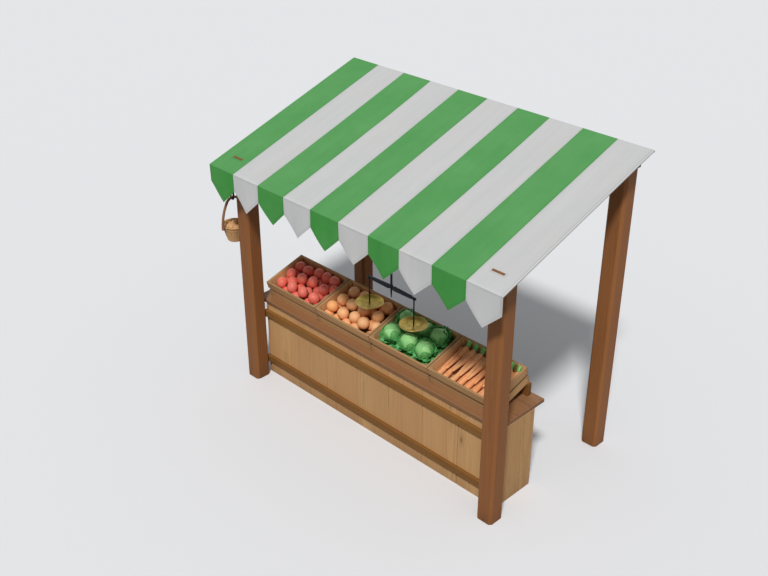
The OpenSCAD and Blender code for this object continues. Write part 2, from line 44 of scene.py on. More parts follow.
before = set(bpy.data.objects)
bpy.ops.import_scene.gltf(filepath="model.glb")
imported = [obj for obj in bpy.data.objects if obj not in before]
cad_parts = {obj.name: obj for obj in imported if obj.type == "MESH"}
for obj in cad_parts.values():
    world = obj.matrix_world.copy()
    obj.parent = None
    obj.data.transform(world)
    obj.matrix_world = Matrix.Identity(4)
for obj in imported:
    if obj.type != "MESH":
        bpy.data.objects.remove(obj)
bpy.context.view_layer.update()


def distance(name, about, metres):
    """A length that a user may change."""
    return bpy.props.FloatProperty(name=name, description=about, default=metres, unit="LENGTH")


def incline(name, about, degrees):
    """An angle that a user may change."""
    angle = math.radians(degrees)
    return bpy.props.FloatProperty(name=name, description=about, default=angle, subtype="ANGLE")


def paint(name, about, value):
    """A colour that a user may change, written as it shows on a screen."""
    return bpy.props.FloatVectorProperty(
        name=name, description=about, default=[v / 255 for v in value], subtype="COLOR_GAMMA", size=3
    )


class StallSizes(bpy.types.PropertyGroup):
    """Sizes that a user would change, apart from those that the frame gives."""

    slope: incline("Canopy slope", "Slope of the canopy", 18.1)
    tilt: incline("Crate tilt", "Forward tilt of the crates", 16)
    cloth: distance("Cloth thickness", "Thickness of the canvas", 0.0024)
    sag: distance("Sag", "How far the cloth sags between rafters", 0.011)
    straight: distance("Valance straight part", "Depth of the notches", 0.145)
    drop: distance("Valance drop", "Depth of the points", 0.286)
    back_fold: distance("Back fold", "Cloth turned down over the back batten", 0.016)
    tomato: distance("Tomato radius", "Radius of a tomato", 0.050)
    orange: distance("Orange radius", "Radius of an orange", 0.050)
    cabbage: distance("Cabbage radius", "Radius of a cabbage", 0.072)
    carrot: distance("Carrot radius", "Radius of a carrot's shoulder", 0.025)


class StallColours(bpy.types.PropertyGroup):
    """Colours of the finishes."""

    post: paint("Posts", "Oiled timber of the posts", (144, 94, 54))
    roof: paint("Roof timbers", "Darker sawn timber", (126, 86, 56))
    rail: paint("Rails", "Oiled timber of the rails", (130, 89, 42))
    board: paint("Boards", "Pine of the counter's boards", (197, 154, 105))
    table: paint("Tabletop", "Planks of the tabletop", (143, 103, 70))
    crate: paint("Crates", "Sawn slats of the crates", (190, 149, 103))
    green: paint("Green cloth", "Green stripes of the canvas", (73, 155, 73))
    white: paint("White cloth", "White stripes of the canvas", (216, 216, 215))
    iron: paint("Iron", "Black iron", (24, 30, 38))
    brass: paint("Brass", "Dull brass of the pans", (164, 142, 69))
    wicker: paint("Wicker", "Cane of the basket", (190, 147, 94))
    cane: paint("Handle", "Cane of the basket's handle", (140, 98, 64))
    tomato: paint("Tomatoes", "Skin of a tomato", (237, 124, 107))
    orange: paint("Oranges", "Peel of an orange", (246, 184, 130))
    cabbage: paint("Cabbages", "Leaves of a cabbage", (130, 206, 118))
    carrot: paint("Carrots", "Skin of a carrot", (240, 176, 124))
    leaf: paint("Carrot tops", "Leaves and stalks", (150, 228, 136))
    crust: paint("Rolls", "Crust of the rolls", (218, 172, 124))


def sizes():
    return bpy.context.scene.stall_sizes


def linear(colour):
    """A screen colour as the linear RGBA that shaders take."""
    return [*(c / 12.92 if c <= 0.04045 else ((c + 0.055) / 1.055) ** 2.4 for c in colour), 1.0]


def shade(colour, factor):
    return [*(c * factor for c in colour[:3]), 1.0]


class Wire:
    """A node's output that plain arithmetic can work on."""

    def __init__(self, nodes, socket):
        self.nodes = nodes
        self.socket = socket

    def maths(self, operation, first, second):
        return self.nodes.add("ShaderNodeMath", {"operation": operation}, {0: first, 1: second})

    def __add__(self, other):
        return self.maths("ADD", self, other)

    __radd__ = __add__

    def __sub__(self, other):
        return self.maths("SUBTRACT", self, other)

    def __rsub__(self, other):
        return self.maths("SUBTRACT", other, self)

    def __mul__(self, other):
        return self.maths("MULTIPLY", self, other)

    __rmul__ = __mul__

    def __abs__(self):
        return self.maths("ABSOLUTE", self, 0)

    def sine(self):
        return self.maths("SINE", self, 0)

    def most(self, other):
        return self.maths("MAXIMUM", self, other)


class Nodes:
    """A node tree that grows by one method and by arithmetic on outputs."""

    def __init__(self, tree):
        self.tree = tree

    def add(self, kind, settings=None, values=None, output=0):
        """A node: its settings are set first, then the values or links of its sockets."""
        node = self.tree.nodes.new(kind)
        for name, value in (settings or {}).items():
            setattr(node, name, value)
        for key, value in (values or {}).items():
            if isinstance(value, Wire):
                self.tree.links.new(value.socket, node.inputs[key])
            else:
                node.inputs[key].default_value = value
        return Wire(self, node.outputs[output]) if node.outputs else None

    def seen(self):
        """1 where the camera, or a glossy or clear surface, looks at this; 0 for the light it sheds."""
        kinds = ("Camera", "Glossy", "Transmission")
        camera, glossy, clear = (self.add("ShaderNodeLightPath", output=f"Is {kind} Ray") for kind in kinds)
        return camera.most(glossy).most(clear)


class Finish(Nodes):
    """A procedural material and the nodes that make it."""

    def __init__(self, name, constants):
        self.material = bpy.data.materials.new(name)
        self.material.use_nodes = True
        super().__init__(self.material.node_tree)
        self.shader = self.tree.nodes["Principled BSDF"]
        for socket, value in constants.items():
            self.shader.inputs[socket].default_value = value

    def feed(self, socket, wire):
        self.tree.links.new(wire.socket, self.shader.inputs[socket])

    def spot(self):
        """Object coordinates, which are the row frame in metres."""
        return self.add("ShaderNodeTexCoord", output="Object")

    def mark(self, name, output="Fac"):
        """An attribute that the mesh carries."""
        return self.add("ShaderNodeAttribute", {"attribute_name": name}, output=output)

    def stretch(self, vector, scale, turn=(0, 0, 0)):
        return self.add("ShaderNodeMapping", {}, {"Vector": vector, "Scale": scale, "Rotation": turn})

    def noise(self, vector, scale, detail=3.0, rough=0.5):
        """Noise of one scale, or drawn out by a scale for each axis."""
        if isinstance(scale, tuple):
            vector, scale = self.stretch(vector, scale), 1.0
        values = {"Vector": vector, "Scale": scale, "Detail": detail, "Roughness": rough}
        return self.add("ShaderNodeTexNoise", {}, values)

    def remap(self, value, low, high, bottom=0.0, top=1.0):
        """The value's range from low to high, stretched to bottom and top and held there."""
        return self.add("ShaderNodeMapRange", {}, {0: value, 1: low, 2: high, 3: bottom, 4: top})

    def fade(self, value, full, gone):
        """1 up to full, and 0 from gone on."""
        return self.remap(value, full, gone, 1.0, 0.0)

    def part(self, vector, axis):
        return self.add("ShaderNodeSeparateXYZ", {}, {0: vector}, axis)

    def mix(self, factor, first, second, how="MIX"):
        settings = {"data_type": "RGBA", "blend_type": how}
        return self.add("ShaderNodeMix", settings, {0: factor, 6: first, 7: second}, 2)

    def lit(self, colour, level):
        """The colour times a level that changes over the surface."""
        grey = self.add("ShaderNodeCombineColor", {}, {0: level, 1: level, 2: level})
        return self.mix(1.0, colour, grey, "MULTIPLY")

    def bump(self, height, distance, strength):
        values = {"Strength": strength, "Distance": distance, "Height": height}
        self.feed("Normal", self.add("ShaderNodeBump", {}, values))


def timber(name, colour, ring, streak, knots, wear, rough=0.62, tone=0.12, low_darkening=0.0):
    """Sawn or planed wood: growth rings, streaks, knots, worn edges and darker end grain, with painted shade
    and painted light on faces that carry a shading mark.
    """
    f = Finish(name, {"Roughness": rough, "Specular IOR Level": 0.2})
    base = linear(colour)
    grain = f.mark("grain", "Vector")
    tilted = f.stretch(grain, (0.35, 1, 1), turn=(0, 0.035, 0.05))
    rings = f.add(
        "ShaderNodeTexWave",
        {"wave_type": "RINGS", "rings_direction": "X"},
        {"Vector": tilted, "Scale": 26.0, "Distortion": 2.2, "Detail": 2.0, "Detail Scale": 1.4},
    )
    streaks = f.noise(grain, (2.4, 46, 46), 5.0, 0.62)
    fibres = f.noise(grain, (14, 420, 420), 2.0)
    broad = f.noise(grain, (0.8, 5, 5), 2.0)
    light = 1.0 + tone * f.mark("tone") - ring * f.remap(rings, 0.25, 1.0) - streak * (streaks - 0.5)
    light = light - 0.3 * (broad - 0.5) - 0.10 * (fibres - 0.5)
    light = light * (1.0 - 0.28 * f.mark("end_grain"))
    light = light + wear * f.mark("worn") * f.remap(streaks, 0.35, 0.65)
    # Painted shade where a face's shading mark is above 0, painted light where it is below 0.
    light = (light + ring * 0.42) * (1.0 - f.mark("painted_shading"))
    # Darker towards the bottom, within 0.16 m of the floor, in patches.
    if low_darkening:
        low = f.fade(f.part(f.spot(), 2), 0.0, 0.16)
        light = light - low_darkening * low * f.remap(broad, 0.3, 0.6)
    redder = [base[0] * 1.05, base[1] * 0.88, base[2] * 0.88, 1.0]
    warm = f.mix(f.remap(broad, 0.35, 0.7, 0.0, 0.35), f.lit(base, light), redder)
    cells = {"Vector": f.stretch(grain, (3.2, 8.5, 8.5)), "Scale": 1.0}
    near = f.add("ShaderNodeTexVoronoi", {}, cells)
    chosen = f.remap(f.part(f.add("ShaderNodeTexVoronoi", {}, cells, 1), 0), 1 - knots, 1.02 - knots)
    eye = (0.55 * f.fade(near, 0.05, 0.12) + 0.3 * f.fade(near, 0.08, 0.3)) * chosen
    f.feed("Base Color", f.mix(eye, warm, shade(base, 0.42)))
    f.feed("Roughness", rough + 0.18 * (streaks - 0.5))
    f.bump(0.5 * streaks + 0.35 * fibres + 0.3 * rings, 0.0012, 0.55)
    return f.material


def canvas(name, colour, faded, slope_shading, slope_sheen):
    """Woven canvas: threads, slubs, seams, stitched hems and weathering, with painted shade and painted sheen
    on the top slope.
    """
    f = Finish(name, {"Roughness": 0.86, "Specular IOR Level": 0.12})
    flat = f.add("ShaderNodeUVMap", {"uv_map": "cloth"})
    across, along = f.part(flat, 0), f.part(flat, 1)
    threads = (across * 2600).sine() + (along * 2600).sine()
    slub = f.noise(flat, (40, 260, 1)) + f.noise(flat, (260, 40, 1))
    broad = f.noise(flat, (2.2, 2.2, 1), 4.0, 0.6)
    runs = f.noise(flat, (16, 1.1, 1), 3.0, 0.55)
    pleat = f.noise(flat, (9, 3.5, 1))
    seam, hem, slope_mask = f.mark("seam"), f.mark("hem"), f.mark("slope_shading")
    edge = f.fade(abs(seam - 0.010), 0.0006, 0.0016)
    stitch = f.fade(abs(seam - 0.007), 0.0005, 0.0012) * f.remap((along * 900).sine(), -0.2, 0.2)
    row = f.fade(abs(hem - 0.020), 0.0005, 0.0012)
    turned = f.fade(hem, 0.0215, 0.0235)
    light = 1.0 + 0.10 * (broad - 0.5) - 0.13 * (runs - 0.5) - 0.05 * (slub - 1.0)
    light = light - 0.18 * edge - 0.14 * stitch - 0.12 * row - 0.05 * turned
    cloth_colour = f.mix(f.remap(broad, 0.4, 0.75, 0.0, 0.35), linear(colour), linear(faded))
    # Painted sheen: the green is greyed on the top slope.
    if slope_sheen:
        cloth_colour = f.mix(slope_sheen * slope_mask, cloth_colour, (0.30, 0.30, 0.30, 1))
    # Painted shade on the top slope, much stronger on the white than on the green.
    f.feed("Base Color", f.lit(cloth_colour, light * (1.0 - slope_shading * slope_mask)))
    f.feed("Roughness", 0.82 + 0.1 * (slub - 1.0))
    height = 0.10 * threads + 0.45 * slub + 1.6 * turned - stitch - 0.8 * row + 2.2 * pleat
    f.bump(height + 1.4 * f.fade(seam, 0.009, 0.0105), 0.0006, 0.6)
    return f.material


def black_iron(name, colour):
    """Forged iron with a waxed black skin and brown specks."""
    f = Finish(name, {"Metallic": 0.9, "Specular IOR Level": 0.5})
    base, brown = linear(colour), (0.085, 0.045, 0.027, 1)
    blotch = f.noise(f.spot(), 60.0, 4.0, 0.6)
    pits = f.noise(f.spot(), 420.0, 2.0)
    rust = f.remap(blotch, 0.60, 0.74, 0.0, 0.55)
    f.feed("Base Color", f.mix(rust, f.mix(f.remap(pits, 0.3, 0.7), base, shade(base, 2.1)), brown))
    f.feed("Roughness", 0.42 + 0.35 * f.remap(blotch, 0.4, 0.75))
    f.feed("Metallic", 0.9 - 0.7 * rust)
    f.bump(blotch + 0.5 * pits, 0.0006, 0.5)
    return f.material


def dull_brass(name, colour):
    """Beaten brass, darker where it is tarnished in blotches."""
    f = Finish(name, {"Metallic": 1.0})
    base = linear(colour)
    cells = {"Vector": f.spot(), "Scale": 95.0, "Smoothness": 0.6}
    stain = f.noise(f.spot(), 26.0, 4.0, 0.6)
    f.feed("Base Color", f.mix(f.remap(stain, 0.45, 0.75, 0.0, 0.7), shade(base, 1.16), shade(base, 0.62)))
    f.feed("Roughness", 0.30 + 0.3 * f.remap(stain, 0.35, 0.7))
    f.bump(f.add("ShaderNodeTexVoronoi", {"feature": "SMOOTH_F1"}, cells), 0.0011, 0.45)
    return f.material


def cane_skin(name, colour, rough):
    """Split cane: glossy skin with long fibres and tone from rod to rod."""
    f = Finish(name, {"Specular IOR Level": 0.4})
    fine = f.noise(f.spot(), 300.0)
    broad = f.noise(f.spot(), 34.0, 3.0, 0.6)
    light = 1.0 + 0.2 * f.mark("tone") + 0.5 * (broad - 0.5) + 0.25 * (fine - 0.5)
    f.feed("Base Color", f.lit(linear(colour), light))
    f.feed("Roughness", rough + 0.25 * (broad - 0.5))
    f.bump(fine + broad, 0.0008, 0.5)
    return f.material


def fruit_skin(name, colour, ripe, rough, dimple, depth, coat=0.0, patch=26.0):
    """Skin of produce: tone from piece to piece, riper patches, and dimples where it has them."""
    f = Finish(name, {"Specular IOR Level": 0.3, "Coat Weight": coat, "Coat Roughness": 0.2})
    blotch = f.noise(f.spot(), patch, 3.0, 0.55)
    tone = f.mark("tone")
    mixed = f.mix(f.remap(blotch + 0.16 * tone, 0.36, 0.68), linear(colour), linear(ripe))
    f.feed("Base Color", f.lit(mixed, 1.0 + 0.09 * tone))
    f.feed("Roughness", rough + 0.12 * (blotch - 0.5))
    f.bump(f.noise(f.spot(), dimple, 2.0), depth, 0.6)
    return f.material


def leaf_skin(name, colour, dark, pale):
    """A cabbage leaf: pale midrib and side veins, darker outside than at the heart."""
    f = Finish(name, {"Specular IOR Level": 0.35, "Coat Weight": 0.12, "Coat Roughness": 0.35})
    flat = f.add("ShaderNodeUVMap", {"uv_map": "leaf"})
    side, up = abs(f.part(flat, 0)), f.part(flat, 1)
    rib = f.fade(side + 0.03 * up, 0.02, 0.075)
    wave = ((up * 1.1 - side * 0.6) * 44).sine()
    vein = f.remap(wave, 0.84, 1.0) * f.fade(side, 0.75, 0.98)
    blister = f.noise(f.spot(), 95.0, 2.0)
    tone = f.mark("tone")
    green = f.mix(f.remap(tone + 0.3 * blister, -0.75, 0.95), linear(dark), linear(colour))
    heart = f.mix(f.remap(tone, 0.35, 1.0, 0.0, 0.75), green, linear(pale))
    f.feed("Base Color", f.mix(f.remap(rib + 0.55 * vein, 0.0, 1.0, 0.0, 0.6), heart, linear(pale)))
    f.feed("Roughness", 0.48 + 0.2 * (blister - 0.5))
    f.bump(1.2 * rib + 0.8 * vein + 0.8 * blister, 0.0018, 0.65)
    return f.material


def only(*pieces):
    """Leaves just these objects selected, the last one active."""
    if bpy.context.object and bpy.context.object.mode == "EDIT":
        bpy.ops.object.mode_set(mode="OBJECT")
    bpy.ops.object.select_all(action="DESELECT")
    for piece in pieces:
        piece.select_set(True)
        bpy.context.view_layer.objects.active = piece


def set_place(piece):
    """Puts the object's place into its mesh."""
    only(piece)
    bpy.ops.object.transform_apply(location=True, rotation=True, scale=True)
    return piece


def change(piece, kind, **settings):
    """Adds a modifier and applies it."""
    only(piece)
    modifier = piece.modifiers.new(kind.title(), kind)
    for name, value in settings.items():
        setattr(modifier, name, value)
    bpy.ops.object.modifier_apply(modifier=modifier.name)
    return piece


def bevel(piece, width, segments, degrees):
    """Rounds the edges that are sharper than an angle."""
    limit = math.radians(degrees)
    return change(piece, "BEVEL", width=width, segments=segments, limit_method="ANGLE", angle_limit=limit)


def joined(pieces, name):
    only(*pieces)
    if len(pieces) > 1:
        bpy.ops.object.join()
    piece = bpy.context.object
    piece.name = piece.data.name = name
    return piece


def points(mesh):
    flat = np.empty(len(mesh.vertices) * 3)
    mesh.vertices.foreach_get("co", flat)
    return flat.reshape(-1, 3)


def columns(x, y, z):
    """Three lists of coordinates as one list of points."""
    return np.stack([x, y, z], 1)


def polar(spots):
    """Angles round the Z axis, and distances from it."""
    return np.arctan2(spots[:, 1], spots[:, 0]), np.hypot(spots[:, 0], spots[:, 1])


def reshape(piece, rule):
    """Moves every vertex of the mesh by a rule on the array of their places."""
    piece.data.vertices.foreach_set("co", rule(points(piece.data)).ravel())
    piece.data.update()
    return piece


def set_mark(mesh, name, values, domain="POINT"):
    """An attribute that the finishes read: a number or a vector for each point or face."""
    values = np.asarray(values, np.float32)
    kind, key = ("FLOAT_VECTOR", "vector") if values.ndim == 2 else ("FLOAT", "value")
    attribute = mesh.attributes.get(name) or mesh.attributes.new(name, kind, domain)
    attribute.data.foreach_set(key, values.ravel())


def even_mark(piece, name, value):
    """The same mark all over a piece."""
    set_mark(piece.data, name, np.full(len(piece.data.vertices), value))
    return piece


def linked(mesh, name):
    """A new object of this mesh in the scene."""
    piece = bpy.data.objects.new(name, mesh)
    bpy.context.scene.collection.objects.link(piece)
    return piece


def copies(piece, places, name, tones=None):
    """Copies of a mesh at the given places, each with its own tone, joined into one piece."""
    made = []
    for i, place in enumerate(places):
        twin = linked(piece.data.copy(), name)
        twin.data.transform(place)
        if tones:
            even_mark(twin, "tone", tones[i])
        made.append(twin)
    bpy.data.objects.remove(piece)
    return joined(made, name)


def smooth(piece, angle=40):
    only(piece)
    bpy.ops.object.shade_smooth_by_angle(angle=math.radians(angle))
    return piece


def settle(piece, finish, slot, *stands_for, body="stall"):
    """Gives a piece its finish and its body, and hides the nodes it stands for; the slot argument is not
    used.
    """
    piece.data.materials.clear()
    piece.data.materials.append(finish)
    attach(piece, body)
    if stands_for:
        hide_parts(*stands_for)
    return piece


def block(low, high):
    """A box primitive between two corners."""
    middle = [(a + b) / 2 for a, b in zip(low, high)]
    size = [b - a for a, b in zip(low, high)]
    bpy.ops.mesh.primitive_cube_add(size=1, location=middle, scale=size)
    return set_place(bpy.context.object)


def turn(axis, degrees):
    return Matrix.Rotation(math.radians(degrees), 4, axis)


def shift(x, y, z):
    return Matrix.Translation((x, y, z))


def stretch(x, y, z):
    return Matrix.Diagonal((x, y, z, 1))


def centre(node):
    """The middle of a node's box, as three numbers."""
    return [(a + b) / 2 for a, b in zip(*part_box(node))]


def islands(mesh):
    """For each vertex, the number of the separate board that it belongs to."""
    links = np.empty(len(mesh.edges) * 2, int)
    mesh.edges.foreach_get("vertices", links)
    links = links.reshape(-1, 2)
    label = np.arange(len(mesh.vertices))
    while True:
        lowest = np.minimum(label[links[:, 0]], label[links[:, 1]])
        new = label.copy()
        np.minimum.at(new, links[:, 0], lowest)
        np.minimum.at(new, links[:, 1], lowest)
        if (new == label).all():
            return np.unique(label, return_inverse=True)[1]
        label = new


def mark_grain(piece, seed):
    """Gives each board grain coordinates along its longest side, a tone, and marks ends and worn edges."""
    mesh = piece.data
    rng = random.Random(seed)
    spots = points(mesh)
    board = islands(mesh)
    grain = np.zeros_like(spots)
    tone = np.zeros(len(spots))
    order = {}
    for number in range(board.max() + 1):
        own = board == number
        low, high = spots[own].min(0), spots[own].max(0)
        axes = order[number] = np.argsort(low - high, kind="stable")
        place_in_log = [rng.uniform(-9, 9), rng.uniform(-0.05, 0.05), rng.uniform(0.03, 0.12)]
        grain[own] = (spots[own] - (low + high) / 2)[:, axes] + place_in_log
        tone[own] = rng.uniform(-1, 1)
    set_mark(mesh, "grain", grain)
    set_mark(mesh, "tone", tone)
    ends, worn = [], []
    for face in mesh.polygons:
        faced = [abs(face.normal[a]) for a in order[board[face.vertices[0]]]]
        ends.append(float(faced[0] > 0.9))
        worn.append(float(max(faced) < 0.97))
    set_mark(mesh, "end_grain", ends, "FACE")
    set_mark(mesh, "worn", worn, "FACE")
    return piece


def set_painted_shading(piece, rule):
    """Paints shade on some faces and light on others, by a rule on a face's centre and normal."""
    set_mark(piece.data, "painted_shading", [rule(face.center, face.normal) for face in piece.data.polygons], "FACE")
    return piece


def mend():
    """In edit mode: merges doubles all over the mesh and leaves all of it selected."""
    bpy.ops.mesh.select_all(action="SELECT")
    bpy.ops.mesh.remove_doubles(threshold=0.00002)


def eased(node, width, kind):
    """A copy of a construction piece whose sharp edges are eased, as after planing."""
    twin = linked(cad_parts[node].data.copy(), f"{node}_{kind}")
    twin.data.materials.clear()
    only(twin)
    bpy.ops.object.mode_set(mode="EDIT")
    mend()
    bpy.ops.mesh.dissolve_limited(angle_limit=math.radians(1))
    bpy.ops.mesh.normals_make_consistent(inside=False)
    bpy.ops.object.mode_set(mode="OBJECT")
    return bevel(twin, width, 2, 30)


def dress_timber(names, ease, finish, slot, seed, trim=None):
    """Eases construction timbers, gives each its grain and any trimming, and settles it."""
    for number, name in enumerate(names):
        piece = mark_grain(eased(name, ease, "wood"), seed + number)
        if trim:
            trim(name, piece)
        settle(piece, finish, slot, name)


def lathe(profile, steps):
    """Extrudes a line of (radius, height) points from one vertex and spins it round the Z axis."""
    bpy.ops.mesh.primitive_plane_add(size=0.01)
    piece = bpy.context.object
    bpy.ops.object.mode_set(mode="EDIT")
    bpy.ops.mesh.select_all(action="SELECT")
    bpy.ops.mesh.merge(type="CENTER")
    bpy.ops.transform.translate(value=(profile[0][0], 0, profile[0][1]))
    for before, after in zip(profile, profile[1:]):
        step = (after[0] - before[0], 0, after[1] - before[1])
        bpy.ops.mesh.extrude_region_move(TRANSFORM_OT_translate={"value": step})
    bpy.ops.mesh.select_all(action="SELECT")
    bpy.ops.mesh.spin(steps=steps, angle=2 * math.pi, center=(0, 0, 0), axis=(0, 0, 1))
    mend()
    bpy.ops.mesh.normals_make_consistent(inside=False)
    bpy.ops.object.mode_set(mode="OBJECT")
    return piece


def nail_head():
    """A round nail head, slightly domed, standing less than a millimetre above the wood."""
    bpy.ops.mesh.primitive_cylinder_add(vertices=10, radius=0.0034, depth=0.0024, location=(0, 0, -0.0006))
    return smooth(bevel(set_place(bpy.context.object), 0.0007, 2, 60), 50)


class STALL_OT_posts(bpy.types.Operator):
    """Ease and finish the posts and the roof timbers"""

    bl_idname = "stall.posts"
    bl_label = "Posts and roof timbers"

    posts = ("front_left_post", "front_right_post", "back_left_post", "back_right_post")
    timbers = (
        "front_beam", "back_beam", "left_rafter", "middle_rafter", "right_rafter",
        "front_batten", "back_batten",
    )
    drawn_in = {"front_beam": 0.026, "back_beam": 0.014}
    near_end = 1.3

    def execute(self, context):
        colours = context.scene.stall_colours
        oiled = timber(
            "post_timber", colours.post, rough=0.58, ring=0.14, streak=0.24, knots=0.10, wear=0.16, low_darkening=0.35
        )
        sawn = timber("roof_timber", colours.roof, rough=0.7, ring=0.15, streak=0.32, knots=0.08, wear=0.2)
        dress_timber(self.posts, 0.003, oiled, "post_wood", 10)
        dress_timber(self.timbers, 0.002, sawn, "frame_wood", 20, self.draw_in)
        return {"FINISHED"}

    def draw_in(self, name, beam):
        """Stops the beams' ends short of the outer sides of the posts, where the cloth hides them."""

        def rule(s):
            outward = np.where(np.abs(s[:, :1]) > self.near_end, np.sign(s[:, :1]), 0)
            return s - outward * [self.drawn_in[name], 0, 0]

        if name in self.drawn_in:
            reshape(beam, rule)


class STALL_OT_counter(bpy.types.Operator):
    """Ease and finish the counter's boards, rails, end panels and tabletop"""

    bl_idname = "stall.counter"
    bl_label = "Counter"

    panels = ("front_boards", "left_end_panel", "right_end_panel", "counter_battens", "back_top_rail")

    def execute(self, context):
        colours = context.scene.stall_colours
        pine = timber(
            "pine_boards", colours.board, ring=0.20, streak=0.26, knots=0.24, wear=0.2, tone=0.05, low_darkening=0.3
        )
        dark = timber("rail_timber", colours.rail, rough=0.6, ring=0.15, streak=0.26, knots=0.1, wear=0.22)
        planks = timber(
            "table_planks", colours.table, rough=0.5, ring=0.2, streak=0.28, knots=0.12, wear=0.22, tone=0.05
        )
        dress_timber(self.panels, 0.0025, pine, "board_wood", 41)
        dress_timber(("upper_rail", "lower_rail"), 0.003, dark, "frame_wood", 46)
        dress_timber(("crate_riser",), 0.002, dark, "post_wood", 48)
        dress_timber(("tabletop",), 0.003, planks, "table_wood", 49, self.paint_front_shading)
        return {"FINISHED"}

    def paint_front_shading(self, name, top):
        """Paints shade on the tabletop's front face and a highlight on its upper front edge."""
        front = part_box(name)[0].y + 0.01

        def rule(spot, way):
            if spot.y > front:
                return 0.0
            # Painted shade on the front face.
            if way.y < -0.9:
                return 0.20
            # Painted highlight on the upper front edge.
            return -0.25 if way.z > 0.3 and way.y < -0.3 else 0.0

        set_painted_shading(top, rule)


class Roof:
    """The canopy's edges, its length down the slope, and the height of its upper face."""

    def __init__(self):
        low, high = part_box("canopy_green")
        self.left, self.front, self.back, self.top = low.x, low.y, high.y, high.z
        self.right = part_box("canopy_white")[1].x
        self.width = self.right - self.left
        self.slope = sizes().slope
        self.slant = (self.back - self.front) / math.cos(self.slope)

    def height(self, y):
        return self.top - (self.back - y) * math.tan(self.slope)

    def lay(self, piece, x, y, z):
        """Tilts a piece that was made flat to the slope and puts its origin at this place."""
        piece.data.transform(shift(x, y, z) @ Matrix.Rotation(self.slope, 4, "X"))
        return smooth(piece)


def lip(post):
    """Sides, front and back of the part of a front post that comes up through the canopy."""
    deep, tall = 0.019, 0.004
    spots = points(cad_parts[post].data)
    near = spots[spots[:, 1] < spots[:, 1].min() + deep]
    near = near[near[:, 2] > near[:, 2].max() - tall]
    return near[:, 0].min(), near[:, 0].max(), near[:, 1].min(), near[:, 1].max()


